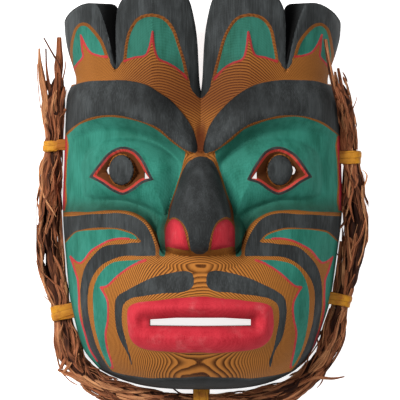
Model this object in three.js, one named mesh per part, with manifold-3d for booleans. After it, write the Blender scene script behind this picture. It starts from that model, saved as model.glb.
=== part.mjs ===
// A carved red cedar mask of a sea chief, with a bundle of twisted cedar bark lashed round its sides and chin.
// Units are millimetres. The mask lies on the flat rim of its hollow back with its face up: +Z comes out of the
// face, +Y runs towards the crown and +X is the right-hand side for someone looking down at the face.

import * as THREE from "three";
import { mergeVertices } from "three/addons/utils/BufferGeometryUtils.js";
import Module from "manifold-3d";

const wasm = await Module();
wasm.setup();

// Driving dimensions of the carving
const CHIN_Y = -167; // lowest point of the chin
const JAW_Y = -150; // where the sides turn into the chin's lower edge
const CROWN_Y = 178; // top of the uncut block
const FACE_DEPTH = 90; // rim to the front of the dome, without nose, lips and brows
const SIDE_POWER = 2.6; // superellipse power of the section across the face
const CHIN_POWER = 4; // and of the turn under the chin
const CHIN_REACH = 85; // length of the turn under the chin
const CHIN_TURN_Y = -122; // below this the rows are closer together
const BOW_REACH = 328; // the bow of the chin fades out over this length
const WALL = 12; // thickness of the side walls and of the face between its features
const HEAD_TOP_Y = 91; // top of the head, behind the crown
const HEAD_TOP_SLOPE = 14; // how much lower the top of the head is at the rim
const CROWN_THICKNESS = 22;
const BELOW_RIM = 4; // how far the cutters run past the rim
const CUT_BACK = -60; // where the cutters that go right through the carving start, behind it
const CUT_FRONT = 180; // and where they end, in front of it

// Half the width of the head, from the jaw's corner upwards, as [y, half width]
const WIDEST = 120;
const HEAD_STATIONS = [
  [JAW_Y, 85],
  [-133, 98.5],
  [-107, 107.5],
  [-90, 111.8],
  [-57, 116],
  [-15, WIDEST],
  [28, 119],
  [62, 118],
  [84, 116.5],
  [98, 111.5],
  [107, 112.5],
  [122, 116],
  [140, 118.5],
  [CROWN_Y, WIDEST],
];
// How far the sides have come out towards +X of an even carving, as [y, distance]
const LEAN_STATIONS = [
  [JAW_Y, -4],
  [-125, -3.4],
  [-90, -2],
  [-57, -1.2],
  [-5, 0],
  [CROWN_Y, 0],
];

const clamp = (x, low, high) => Math.min(Math.max(x, low), high);

// 0 up to edge a, 1 from edge b, and a smooth rise between them
function ramp(a, b, x) {
  const t = clamp((x - a) / (b - a), 0, 1);
  return t * t * (3 - 2 * t);
}

// A smooth curve through [position, value] stations
function through(stations, at) {
  const last = stations.length - 1;
  const i = clamp(stations.findIndex(([p]) => p > at) - 1, 0, last - 1);
  const k = at >= stations[last][0] ? last - 1 : i;
  const slope = (n) => {
    const a = stations[Math.max(n - 1, 0)];
    const b = stations[Math.min(n + 1, last)];
    return (b[1] - a[1]) / (b[0] - a[0]);
  };
  const [p0, v0] = stations[k];
  const [p1, v1] = stations[k + 1];
  const span = p1 - p0;
  const t = clamp((at - p0) / span, 0, 1);
  const t2 = t * t;
  const t3 = t2 * t;
  return (
    (2 * t3 - 3 * t2 + 1) * v0 +
    (t3 - 2 * t2 + t) * span * slope(k) +
    (3 * t2 - 2 * t3) * v1 +
    (t3 - t2) * span * slope(k + 1)
  );
}

// A quarter of a superellipse at share q from its foot: how far along it has come, and how high it stands
function quarter(q, power) {
  const angle = (q * Math.PI) / 2;
  return [
    1 - Math.cos(angle) ** (2 / power),
    Math.sin(angle) ** (2 / power),
  ];
}

// Height of a superellipse arch at share s of its half width
const archHeight = (s, power) =>
  Math.max(0, 1 - Math.abs(s) ** power) ** (1 / power);

// A dome that is 1 in the middle of an ellipse and falls to 0 at its edge, with the given power
function dome(x, y, cx, cy, rx, ry, power) {
  const r2 = ((x - cx) / rx) ** 2 + ((y - cy) / ry) ** 2;
  return r2 < 1 ? (1 - r2) ** power : 0;
}

// The nose, from its foot to its root, as [y, half width, rise above the face]
const NOSE = [
  [-52.5, 29.5, 0],
  [-51.5, 31, 10],
  [-48.5, 32, 22],
  [-44, 33, 31],
  [-38, 33, 35],
  [-30, 32, 36],
  [-20, 29, 34],
  [-6, 26, 28],
  [10, 21, 19],
  [24, 15, 8],
  [36, 9, 0],
];
const NOSE_POWER = 2.4;
const NOSE_BASE = 60; // depth at which the nose's form ends, inside the face
const NOSTRIL = { x: 21, y: -34.5, z: 90, rx: 13.5, ry: 15.5, rz: 20 };

// The edges of the brow and of the eye socket, as [distance from the centre line, y]
const BROW_LOW = [
  [4, 30],
  [22, 47],
  [40, 60],
  [67, 65],
  [90, 61],
  [118, 50],
];
const BROW_HIGH = [
  [0, 48],
  [8, 64],
  [22, 78],
  [40, 90],
  [67, 96],
  [118, 92],
];
const SOCKET_LOW = [
  [24, -56],
  [34, -44],
  [48, -27],
  [67, -16],
  [90, -14],
  [118, -14],
];
const BROW_RISE = 6;
const SOCKET_DEPTH = 12;
const ORB = { x: 67, y: 17, rx: 48, ry: 32, rise: 16 };

function eyesAndBrows(x, y) {
  const ax = Math.abs(x);
  const low = through(BROW_LOW, ax);
  const high = through(BROW_HIGH, ax);
  const floor = through(SOCKET_LOW, ax);
  const brow = BROW_RISE * ramp(low - 6, low + 5, y) * (1 - ramp(high - 20, high + 4, y));
  const socket = SOCKET_DEPTH * ramp(floor - 4, floor + 9, y) * (1 - ramp(low - 12, low + 2, y));
  const orb = ORB.rise * dome(ax, y, ORB.x, ORB.y, ORB.rx, ORB.ry, 0.8);
  return brow * ramp(2, 16, ax) + (orb - socket) * ramp(8, 30, ax);
}

// The muzzle swells round the mouth, and the lips stand on it with the slit sunk between them
const MOUTH_Y = -107;
const MUZZLE = { y: -105, rx: 96, ry: 66, rise: 13 };
const LIPS = { rx: 63, ry: 26, rise: 9, sunk: 8 };

function muzzle(x, y) {
  const swell = MUZZLE.rise * dome(x, y, 0, MUZZLE.y, MUZZLE.rx, MUZZLE.ry, 1);
  const across = Math.abs(x) / LIPS.rx;
  const off = Math.abs(y - MOUTH_Y) / LIPS.ry;
  const lip = Math.max(0, 1 - (across ** 4 + off ** 4) ** 0.5) ** 0.7;
  const sunk = (1 - ramp(0, 0.6, off)) * (1 - ramp(0.75, 1.05, across));
  return swell + LIPS.rise * lip - LIPS.sunk * sunk;
}

// How far the carving stands out from the smooth dome
const relief = (x, y) => eyesAndBrows(x, y) + muzzle(x, y);

// Evenly spaced shares from a to b, without b
const evenly = (a, b, count) => Array.from({ length: count }, (_, i) => a + ((b - a) * i) / count);

// Shares from -1 to 1 across an arch with the height there, closer together where it turns down to the rim
function acrossShares(turnColumns, plainColumns, power) {
  const standing = (q) => 1 - quarter(q, power)[0];
  const half = [...evenly(0, 0.5, turnColumns).map(standing), ...evenly(standing(0.5), 0, plainColumns)];
  const shares = [...half.map((s) => -s), 0, ...half.reverse()];
  return shares.map((s) => [s, archHeight(s, power)]);
}

// Lines across the face that its rows follow, so that no row cuts the edge of a brow or of a socket.
// Each has its height y at a distance from the centre line, and the number of rows up to the next.
const GUIDES = [
  { y: () => CHIN_TURN_Y, rows: 8 },
  { y: () => -80, rows: 3 },
  { y: (ax) => through(SOCKET_LOW, ax) - 4, rows: 3 },
  { y: (ax) => through(SOCKET_LOW, ax) + 9, rows: 8 },
  { y: (ax) => through(BROW_LOW, ax) - 10, rows: 4 },
  { y: (ax) => through(BROW_LOW, ax) + 4, rows: 3 },
  { y: (ax) => through(BROW_HIGH, ax) - 12, rows: 2 },
  { y: (ax) => through(BROW_HIGH, ax) + 4, rows: 2 },
  { y: () => 112, rows: 4 },
  { y: () => CROWN_Y, rows: 1 },
];
const CHIN_ROWS = 6;

// The heights y of the rows at a distance from the centre line, from the chin up
function rowHeights(ax) {
  const chin = evenly(0, 1, CHIN_ROWS).map((q) => JAW_Y + (CHIN_TURN_Y - JAW_Y) * q * q);
  const lines = GUIDES.map(({ y }) => y(ax));
  const face = GUIDES.flatMap(({ rows }, i) => evenly(lines[i], lines[i + 1] ?? CROWN_Y, rows));
  return [...chin, ...face];
}

// The head rises from under the chin to its full depth
function chinRise(y) {
  const left = 1 - clamp((y - JAW_Y) / CHIN_REACH, 0, 1);
  return archHeight(left, CHIN_POWER);
}

// A point of the mask's outside, at share s of its half width and height y before the chin is bowed
function outside(s, arch, y) {
  const bowed = y - (JAW_Y - CHIN_Y) * clamp(1 - (y - JAW_Y) / BOW_REACH, 0, 1) ** 4 * (1 - Math.abs(s) ** 3);
  const x = s * through(HEAD_STATIONS, y) + s * s * through(LEAN_STATIONS, y);
  const height = arch * chinRise(y);
  return [x, bowed, (FACE_DEPTH + relief(x, bowed) * ramp(0.25, 0.7, height)) * height];
}

// Closes rows of points, each an arch with both feet on one plane, into a solid with a flat underside
function solidUnder(rows) {
  const positions = rows.flat(2);
  const index = [];
  const width = rows[0].length;
  const at = (row, column) => row * width + column;
  for (let r = 0; r < rows.length - 1; r++) {
    for (let c = 0; c < width - 1; c++) {
      index.push(at(r, c), at(r, c + 1), at(r + 1, c + 1));
      index.push(at(r, c), at(r + 1, c + 1), at(r + 1, c));
    }
    index.push(at(r, 0), at(r + 1, width - 1), at(r, width - 1));
    index.push(at(r, 0), at(r + 1, 0), at(r + 1, width - 1));
  }
  const top = rows.length - 1;
  for (let c = 1; c < width - 1; c++) {
    index.push(at(0, 0), at(0, c + 1), at(0, c));
    index.push(at(top, 0), at(top, c), at(top, c + 1));
  }
  const geometry = new THREE.BufferGeometry();
  geometry.setAttribute("position", new THREE.Float32BufferAttribute(positions, 3));
  geometry.setIndex(index);
  return toSolid(geometry);
}

function toSolid(geometry) {
  const bare = geometry.clone();
  bare.deleteAttribute("normal");
  bare.deleteAttribute("uv");
  const merged = mergeVertices(bare, 1e-3);
  return new wasm.Manifold(
    new wasm.Mesh({
      numProp: 3,
      vertProperties: merged.attributes.position.array,
      triVerts: new Uint32Array(merged.index.array),
    }),
  );
}

function toGeometry(solid) {
  const mesh = solid.getMesh();
  const geometry = new THREE.BufferGeometry();
  geometry.setAttribute("position", new THREE.BufferAttribute(mesh.vertProperties, 3));
  geometry.setIndex(new THREE.BufferAttribute(mesh.triVerts, 1));
  return geometry;
}

// A flat outline in x and y, pushed along +Z from low to high
function prism(points, low, high) {
  const shape = new THREE.Shape(points.map(([x, y]) => new THREE.Vector2(x, y)));
  const geometry = new THREE.ExtrudeGeometry(shape, { depth: high - low, bevelEnabled: false });
  geometry.translate(0, 0, low);
  return geometry;
}

// Points of a smooth closed or open curve through the given corners
function smooth(points, steps, closed = false) {
  const curve = new THREE.CatmullRomCurve3(
    points.map(([x, y]) => new THREE.Vector3(x, y, 0)),
    closed,
    "centripetal",
  );
  const made = curve.getPoints(steps).map((p) => [p.x, p.y]);
  return closed ? made.slice(0, -1) : made;
}

const mirrored = (points) => points.map(([x, y]) => [-x, y]).reverse();

// The block from which the rest is cut: head, face and an uncut crown
function block() {
  const across = acrossShares(9, 13, SIDE_POWER);
  const columns = across.map(([s, arch]) => {
    const heights = rowHeights(Math.abs(s) * WIDEST);
    return heights.map((y) => outside(s, arch, y));
  });
  return solidUnder(columns[0].map((_, row) => columns.map((column) => column[row])));
}

function nose() {
  const across = acrossShares(3, 4, NOSE_POWER);
  const rows = NOSE.map(([y, half, rise]) =>
    across.map(([s, arch]) => [s * half, y, NOSE_BASE + (FACE_DEPTH + rise - NOSE_BASE) * arch]),
  );
  return solidUnder(rows);
}

function nostril(side) {
  const ball = new THREE.SphereGeometry(1, 16, 10);
  ball.scale(NOSTRIL.rx, NOSTRIL.ry, NOSTRIL.rz);
  ball.translate(side * NOSTRIL.x, NOSTRIL.y, NOSTRIL.z);
  return toSolid(ball);
}

// The hollow behind the face, open at the rim. It narrows with the jaw and is deeper behind the mouth.
const HOLLOW = { low: CHIN_Y + WALL, top: HEAD_TOP_Y - 14, endPower: 5, depth: FACE_DEPTH - WALL - 4 };
const HOLLOW_ROWS = 16;
const HOLLOW_HALF = [
  [JAW_Y, 74],
  [-133, 87],
  [-107, 96],
  [-90, 103],
  [-75, 105.5],
  [-48, 106.5],
  [-15, 108],
  [28, 107],
  [62, 106],
  [88, 104],
];
const HOLLOW_JAW = { y: JAW_Y + 20, reach: 30, narrower: 0.25 };
const HOLLOW_MOUTH = { rx: 90, ry: 60, deeper: 8 };

function hollow() {
  const across = acrossShares(5, 5, SIDE_POWER);
  const middle = (HOLLOW.low + HOLLOW.top) / 2;
  const reach = (HOLLOW.top - HOLLOW.low) / 2;
  const { rx, ry, deeper } = HOLLOW_MOUTH;
  const made = Array.from({ length: HOLLOW_ROWS + 1 }, (_, i) => {
    const side = (2 * i) / HOLLOW_ROWS - 1;
    const [gone, high] = quarter(1 - Math.abs(side), HOLLOW.endPower);
    const y = middle + Math.sign(side) * reach * (1 - gone);
    const intoJaw = Math.max(0, HOLLOW_JAW.y - y) / HOLLOW_JAW.reach;
    const half = through(HOLLOW_HALF, Math.max(y, JAW_Y)) * (1 - HOLLOW_JAW.narrower * intoJaw ** 2);
    return across.map(([s, arch]) => {
      const x = s * half;
      const inner = HOLLOW.depth + deeper * dome(x, y, 0, MOUTH_Y, rx, ry, 1);
      return [x, y, -BELOW_RIM + (inner + BELOW_RIM) * arch * high];
    });
  });
  return solidUnder(made);
}

// The space behind the crown, down to the sloping top of the head
const CROWN_SIDE = 100.6; // half the width of that space at the rim

function behindCrown() {
  const across = acrossShares(6, 5, SIDE_POWER);
  const depth = FACE_DEPTH - CROWN_THICKNESS;
  const arch = (low) =>
    across.map(([s, high]) => {
      const z = -BELOW_RIM + (depth + BELOW_RIM) * high;
      const foot = HEAD_TOP_Y - HEAD_TOP_SLOPE * (1 - z / depth);
      return [s * CROWN_SIDE, low ? foot : CROWN_Y + BELOW_RIM, z];
    });
  return solidUnder([arch(true), arch(false)]);
}

// The outlines of the lobes, for the right-hand side and as seen from the front
const MIDDLE_LOBES = [
  [72, 80],
  [71.5, 112],
  [71.5, 146],
  [69, 160],
  [60, 171],
  [42, 176.5],
  [24, 174],
  [12, 166],
  [0, 160],
];
const CENTRE_NOTCH = [
  [0, 86],
  [1.2, 96],
  [2.2, 116],
  [2.9, 128],
  [5, 145],
  [10, 165],
  [16, 174],
  [26, 184],
];
const OUTER_LOBE = [
  [72, 104],
  [78, 131],
  [82.5, 147],
  [89, 162.5],
  [100, 161.5],
  [109, 157],
  [115, 151],
  [117.5, 142],
  [116, 122],
  [113, 105],
  [110.5, 94],
];
const LOBE_TURN = THREE.MathUtils.degToRad(44); // how far an outer lobe faces outwards
const LOBE_PIVOT = 94; // where its front is level with that of the uncut crown
const LOBE_FOOT = 70; // every lobe's cutter ends this low, inside the forehead
const LOBES_CUT_Y = 94; // above this, what isn't a lobe is cut away
const LOBES_MIDDLE_Y = 130;

// Where the front of the uncut crown stands at x
const crownFront = (x) => FACE_DEPTH * archHeight(x / through(HEAD_STATIONS, LOBES_MIDDLE_Y), SIDE_POWER);

// An outer lobe's outline, pushed along its own normal
function outerLobe(side) {
  const flat = OUTER_LOBE.map(([x, y]) => {
    const back = crownFront(LOBE_PIVOT) - crownFront(x);
    return [(x - LOBE_PIVOT) * Math.cos(LOBE_TURN) + back * Math.sin(LOBE_TURN), y];
  });
  const first = flat[0];
  const last = flat[flat.length - 1];
  const outline = [...flat, [last[0], LOBE_FOOT], [first[0], LOBE_FOOT]];
  const geometry = prism(side > 0 ? outline : mirrored(outline), CUT_BACK, -CUT_BACK);
  geometry.rotateY(side * LOBE_TURN);
  geometry.translate(side * LOBE_PIVOT, 0, crownFront(LOBE_PIVOT));
  return toSolid(geometry);
}

// What is cut away round the lobes
function aroundLobes() {
  const height = CROWN_Y + BELOW_RIM - LOBES_CUT_Y;
  const waste = new THREE.BoxGeometry(3 * WIDEST, height, CUT_FRONT - CUT_BACK);
  waste.translate(0, LOBES_CUT_Y + height / 2, (CUT_FRONT + CUT_BACK) / 2);
  const half = smooth(MIDDLE_LOBES.slice(1), 14);
  const outline = [MIDDLE_LOBES[0], ...half];
  const middle = prism([...outline, ...mirrored(outline).slice(1)], 2 * CUT_BACK, 2 * CUT_FRONT);
  return toSolid(waste).subtract(toSolid(middle)).subtract(outerLobe(1)).subtract(outerLobe(-1));
}

function centreNotch() {
  const edge = smooth(CENTRE_NOTCH, 12);
  return toSolid(prism([...edge, ...mirrored(edge).slice(0, -1)], CUT_BACK, CUT_FRONT));
}

// The eye is cut through on both sides of its round iris, which stays joined to the lids
const IRIS = { x: 66.9, y: 20.4, rx: 10.6, ry: 12.8 };
const LIDS = { outer: [89.5, 15.5], inner: [42.5, 13], top: [66, 36], bottom: [66, 3.5] };

const EYE_FLOOR = { z: 74, slope: -0.37 }; // height at the iris, and its rise per millimetre outwards
// The two holes beside an iris, at its outer and at its inner corner
const EYE_HOLES = [
  [[77.2, 16.4], [79, 17.6], [80, 20.4], [79, 22.8], [77.2, 24], [78, 20.4]],
  [[43.2, 13.5], [47.4, 13], [47.2, 19.2]],
];

function eyeCuts(side) {
  const upper = smooth([LIDS.outer, [81, 26.5], LIDS.top, [51, 26], LIDS.inner], 12);
  const lower = smooth([LIDS.inner, [54, 9.5], LIDS.bottom, [78, 9.5], LIDS.outer], 12);
  const lids = [...upper, ...lower.slice(1, -1)].reverse();
  const iris = evenly(0, 2 * Math.PI, 20).map((angle) => [
    IRIS.x + IRIS.rx * Math.cos(angle),
    IRIS.y + IRIS.ry * Math.sin(angle),
  ]);
  const placed = (points) => (side > 0 ? points : mirrored(points));
  const recess = prism(placed(lids), EYE_FLOOR.z, CUT_FRONT);
  recess.translate(-side * IRIS.x, 0, 0);
  recess.applyMatrix4(new THREE.Matrix4().makeShear(0, side * EYE_FLOOR.slope, 0, 0, 0, 0));
  recess.translate(side * IRIS.x, 0, 0);
  const kept = toSolid(prism(placed(iris), CUT_BACK, 2 * CUT_FRONT));
  const holes = EYE_HOLES.map((hole) => toSolid(prism(placed(hole), 0, CUT_FRONT)));
  return holes.reduce((all, hole) => all.add(hole), toSolid(recess).subtract(kept));
}

// The slit of the mouth
const SLIT = [
  [-42.5, -105.2],
  [-42.5, -110.5],
  [0, -110.8],
  [42.5, -110.5],
  [42.5, -105],
  [20, -103.6],
  [-20, -103.6],
];

const mouthSlit = () => toSolid(prism(SLIT, 0, CUT_FRONT));

// The bundle's route from its upper left end, as [x, y, z, radius]
const WREATH_ROUTE = [
  [-121, 132, 38, 3.2],
  [-121.5, 115, 28, 4.6],
  [-123.5, 98, 20, 5.4],
  [-128, 76, 15, 7.8],
  [-127.8, 60, 13.5, 7],
  [-127.5, 42, 13.5, 6.8],
  [-128, 33, 13.5, 7.4],
  [-130.3, 14, 13, 9.6],
  [-131.8, -8, 13, 10.5],
  [-132.6, -34, 13, 9.8],
  [-131, -56, 13, 10.6],
  [-126.8, -76, 13, 9],
  [-122.8, -91, 13.5, 7.6],
  [-120.8, -101, 13.5, 6.8],
  [-118.8, -115, 13.5, 7.9],
  [-116.8, -126, 13, 9.8],
  [-112, -141, 13, 10.4],
  [-102, -154, 13, 10.5],
  [-81, -168, 13, 9.8],
  [-60, -174.5, 12.5, 9.2],
  [-36, -177.5, 13, 8],
  [-1, -179.5, 13.5, 6.8],
  [32, -178, 13, 8.4],
  [56, -174.5, 12.5, 9.2],
  [75, -168, 13, 9],
  [87, -159, 13, 9],
  [96, -149, 13, 9],
  [104.8, -136, 13, 9.2],
  [110.8, -123, 13, 9.4],
  [114.6, -110, 13.5, 8],
  [118.6, -90.6, 13.5, 6.8],
  [122, -78, 13.5, 7.6],
  [125, -66, 13, 8.8],
  [128.2, -53, 13, 10],
  [130.6, -40, 13, 10.8],
  [131.8, -24, 13, 10.8],
  [130.2, -5, 13, 9],
  [129.8, 8, 13, 9],
  [128, 21, 13.5, 7.4],
  [127, 32, 13.5, 6.8],
  [126, 43, 14, 6.8],
  [125, 56, 18.5, 6.2],
  [123.2, 70, 27, 5.4],
  [121, 84, 37, 5.2],
  [117, 98, 47, 4.8],
  [112, 113, 58, 4],
  [104.5, 131, 70, 2.6],
];
// A shorter prong of loose strips beside each end
const LEFT_PRONG = [
  [-129, 82, 16, 5],
  [-134.5, 98, 20, 4.6],
  [-137.3, 112, 24, 4],
  [-137, 126, 27, 3],
];
const RIGHT_PRONG = [
  [125, 46, 15, 5],
  [128.6, 57, 18, 3.6],
  [129.6, 67, 21, 2.2],
];
const WREATH_SIDES = 8;
const WREATH_STEPS = 72;
const PRONG_STEPS = 6;

// A round tube of changing radius along a route
function bundle(route, steps) {
  const centre = new THREE.CatmullRomCurve3(
    route.map(([x, y, z]) => new THREE.Vector3(x, y, z)),
    false,
    "centripetal",
  );
  const radii = route.map(([, , , radius], i) => [i / (route.length - 1), radius]);
  const frames = centre.computeFrenetFrames(steps, false);
  const positions = [];
  const index = [];
  for (let i = 0; i <= steps; i++) {
    const share = i / steps;
    const middle = centre.getPointAt(share);
    const radius = through(radii, centre.getUtoTmapping(share));
    for (let k = 0; k < WREATH_SIDES; k++) {
      const angle = (k / WREATH_SIDES) * 2 * Math.PI;
      const out = frames.normals[i]
        .clone()
        .multiplyScalar(Math.cos(angle))
        .addScaledVector(frames.binormals[i], Math.sin(angle));
      positions.push(...middle.clone().addScaledVector(out, radius).toArray());
    }
  }
  const at = (i, k) => i * WREATH_SIDES + (k % WREATH_SIDES);
  for (let i = 0; i < steps; i++) {
    for (let k = 0; k < WREATH_SIDES; k++) {
      index.push(at(i, k), at(i, k + 1), at(i + 1, k + 1));
      index.push(at(i, k), at(i + 1, k + 1), at(i + 1, k));
    }
  }
  for (let k = 1; k < WREATH_SIDES - 1; k++) {
    index.push(at(0, 0), at(0, k + 1), at(0, k));
    index.push(at(steps, 0), at(steps, k), at(steps, k + 1));
  }
  const geometry = new THREE.BufferGeometry();
  geometry.setAttribute("position", new THREE.Float32BufferAttribute(positions, 3));
  geometry.setIndex(index);
  return toSolid(geometry);
}

// The ties: a leather band that goes round the bundle, in through one slot of the wall and out through another.
// Each is placed at the bundle's middle, and turned so that its long way points out from the mask.
const TIES = [
  { name: "tie_upper_left", x: -127.5, y: 42, outward: 180, width: 10 },
  { name: "tie_lower_left", x: -120.8, y: -101, outward: 192, width: 14 },
  { name: "tie_chin", x: -1, y: -179.5, outward: -90, width: 14 },
  { name: "tie_lower_right", x: 118.6, y: -90.6, outward: -13, width: 11 },
  { name: "tie_upper_right", x: 127, y: 32, outward: 0, width: 12 },
];
const TIE_LEATHER = 1.6; // thickness of the band
const TIE_INSIDE = { out: 8, in: 25.5, low: 4.6, high: 22 }; // the space that the band goes round
const TIE_CORNER = 5; // inner radius of the band's corners
const TIE_CLEARANCE = 0.4;

// A rounded rectangle, grown on all sides
function roundedRectangle(PathClass, grow) {
  const { out, in: inward, low, high } = TIE_INSIDE;
  const [x0, x1, y0, y1] = [-inward - grow, out + grow, low - grow, high + grow];
  const r = TIE_CORNER + grow;
  const path = new PathClass();
  path.moveTo(x0 + r, y0);
  path.lineTo(x1 - r, y0);
  path.absarc(x1 - r, y0 + r, r, -Math.PI / 2, 0, false);
  path.lineTo(x1, y1 - r);
  path.absarc(x1 - r, y1 - r, r, 0, Math.PI / 2, false);
  path.lineTo(x0 + r, y1);
  path.absarc(x0 + r, y1 - r, r, Math.PI / 2, Math.PI, false);
  path.lineTo(x0, y0 + r);
  path.absarc(x0 + r, y0 + r, r, Math.PI, 1.5 * Math.PI, false);
  return path;
}

function tieBand({ x, y, outward, width }, clearance) {
  const shape = roundedRectangle(THREE.Shape, TIE_LEATHER + clearance);
  shape.holes.push(roundedRectangle(THREE.Path, -clearance));
  const depth = width + 2 * clearance;
  const geometry = new THREE.ExtrudeGeometry(shape, { depth, bevelEnabled: false, curveSegments: 2 });
  geometry.translate(0, 0, -depth / 2);
  geometry.rotateX(Math.PI / 2);
  geometry.rotateZ(THREE.MathUtils.degToRad(outward));
  geometry.translate(x, y, 0);
  return toSolid(geometry);
}

function carvedMask() {
  let carved = block()
    .add(nose())
    .add(nostril(1))
    .add(nostril(-1))
    .subtract(hollow())
    .subtract(behindCrown())
    .subtract(aroundLobes())
    .subtract(centreNotch())
    .subtract(eyeCuts(1))
    .subtract(eyeCuts(-1))
    .subtract(mouthSlit());
  for (const tie of TIES) carved = carved.subtract(tieBand(tie, TIE_CLEARANCE));
  return carved;
}

const cedar = new THREE.MeshStandardMaterial({ color: 0xa5652f, roughness: 0.6, metalness: 0 });
const bark = new THREE.MeshStandardMaterial({ color: 0x7a4a2e, roughness: 0.85, metalness: 0 });
const leather = new THREE.MeshStandardMaterial({ color: 0xc98a2b, roughness: 0.55, metalness: 0 });

function piece(name, solid, material) {
  const mesh = new THREE.Mesh(toGeometry(solid), material);
  mesh.name = name;
  return mesh;
}

const wreath = bundle(WREATH_ROUTE, WREATH_STEPS)
  .add(bundle(LEFT_PRONG, PRONG_STEPS))
  .add(bundle(RIGHT_PRONG, PRONG_STEPS));

const mask = new THREE.Group();
mask.add(piece("mask", carvedMask(), cedar));
mask.add(piece("bark_wreath", wreath, bark));
for (const tie of TIES) mask.add(piece(tie.name, tieBand(tie, 0), leather));

// The origin is under the middle of the whole object, on the surface that it lies on
const bounds = new THREE.Box3().setFromObject(mask);
const middle = bounds.getCenter(new THREE.Vector3());
mask.position.set(-middle.x, -middle.y, -bounds.min.z);

export default mask;
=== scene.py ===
# A carved and painted cedar mask of a sea chief that lies on its back, with its bundle of bark and its ties.
# The carving's dimensions are in millimetres, from the mask's centre line and the middle of its block, as in
# the solid. What is handed to Blender is in metres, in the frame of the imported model.

import math

import bpy
import numpy as np
from mathutils import Matrix, Vector


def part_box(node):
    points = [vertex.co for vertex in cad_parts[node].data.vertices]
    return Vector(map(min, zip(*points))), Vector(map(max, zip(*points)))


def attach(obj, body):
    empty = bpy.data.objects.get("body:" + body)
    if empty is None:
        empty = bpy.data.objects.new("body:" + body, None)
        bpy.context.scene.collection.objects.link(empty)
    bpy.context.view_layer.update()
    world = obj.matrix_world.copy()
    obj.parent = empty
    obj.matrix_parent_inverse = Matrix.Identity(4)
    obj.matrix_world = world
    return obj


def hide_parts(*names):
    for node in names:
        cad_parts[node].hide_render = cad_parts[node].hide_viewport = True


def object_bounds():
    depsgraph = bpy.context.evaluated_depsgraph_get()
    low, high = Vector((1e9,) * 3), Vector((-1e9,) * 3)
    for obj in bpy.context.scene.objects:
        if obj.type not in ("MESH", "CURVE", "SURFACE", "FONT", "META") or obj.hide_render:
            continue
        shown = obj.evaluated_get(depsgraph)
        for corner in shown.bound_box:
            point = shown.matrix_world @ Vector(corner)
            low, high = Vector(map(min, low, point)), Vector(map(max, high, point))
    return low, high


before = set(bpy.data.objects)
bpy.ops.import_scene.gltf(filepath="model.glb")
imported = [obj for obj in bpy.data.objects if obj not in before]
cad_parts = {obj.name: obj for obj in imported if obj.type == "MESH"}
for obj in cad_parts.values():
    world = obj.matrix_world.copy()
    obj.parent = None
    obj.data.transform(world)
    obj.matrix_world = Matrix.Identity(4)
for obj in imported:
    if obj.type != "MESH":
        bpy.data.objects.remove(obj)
cad_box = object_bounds()

MM = 0.001
rng = np.random.default_rng(7)

# The carving's main dimensions, as in the solid
CHIN_Y = -167
JAW_Y = -150
CROWN_Y = 178
FACE_DEPTH = 90  # from the rim to the front of the face, without nose, lips and brows
SIDE_POWER = 2.6  # superellipse power of the section across the face
CHIN_POWER = 4  # and of the turn under the chin
CHIN_REACH = 85  # length of that turn
CHIN_TURN_Y = -122  # below this the rows are closer together
BOW_REACH = 328  # the bow of the chin fades out over this length
WALL = 12
HEAD_TOP_Y = 91
HEAD_TOP_SLOPE = 14  # how much lower the top of the head is at the rim
CROWN_THICKNESS = 22
BELOW_RIM = 4  # how far the cutters run past the rim
WIDEST = 120
# Half the width at the rim, and how far the sides lean over to one side, as (y, value)
HEAD_STATIONS = [
    (JAW_Y, 85), (-133, 98.5), (-107, 107.5), (-90, 111.8), (-57, 116), (-15, WIDEST), (28, 119),
    (62, 118), (84, 116.5), (98, 111.5), (107, 112.5), (122, 116), (140, 118.5), (CROWN_Y, WIDEST),
]
LEAN_STATIONS = [(JAW_Y, -4), (-125, -3.4), (-90, -2), (-57, -1.2), (-5, 0), (CROWN_Y, 0)]

# Where the carving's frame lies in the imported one
mask_low, mask_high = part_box("mask")
SHIFT = np.array([(mask_low.x + mask_high.x) / 2 / MM, mask_low.y / MM - CHIN_Y, 0])


# Curves and distances

def clamp(x, low, high):
    return np.minimum(np.maximum(x, low), high)


def ramp(a, b, x):
    """0 up to a, 1 from b, and a smooth rise between them."""
    t = clamp((x - a) / (b - a), 0, 1)
    return t * t * (3 - 2 * t)


def fall(a, b, x):
    """1 up to a, 0 from b, and a smooth fall between them."""
    return 1 - ramp(a, b, x)


def max_of(depths):
    return np.maximum.reduce(depths) if len(depths) else 0


def through(stations, at):
    """A smooth curve through (position, value) stations."""
    p, v = np.array(stations, float).T
    slope = np.empty(len(p))
    slope[1:-1] = (v[2:] - v[:-2]) / (p[2:] - p[:-2])
    slope[0] = (v[1] - v[0]) / (p[1] - p[0])
    slope[-1] = (v[-1] - v[-2]) / (p[-1] - p[-2])
    k = np.clip(np.searchsorted(p, at, side="right") - 1, 0, len(p) - 2)
    span = p[k + 1] - p[k]
    t = clamp((at - p[k]) / span, 0, 1)
    t2, t3 = t * t, t * t * t
    return (
        (2 * t3 - 3 * t2 + 1) * v[k]
        + (t3 - 2 * t2 + t) * span * slope[k]
        + (3 * t2 - 2 * t3) * v[k + 1]
        + (t3 - t2) * span * slope[k + 1]
    )


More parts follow.
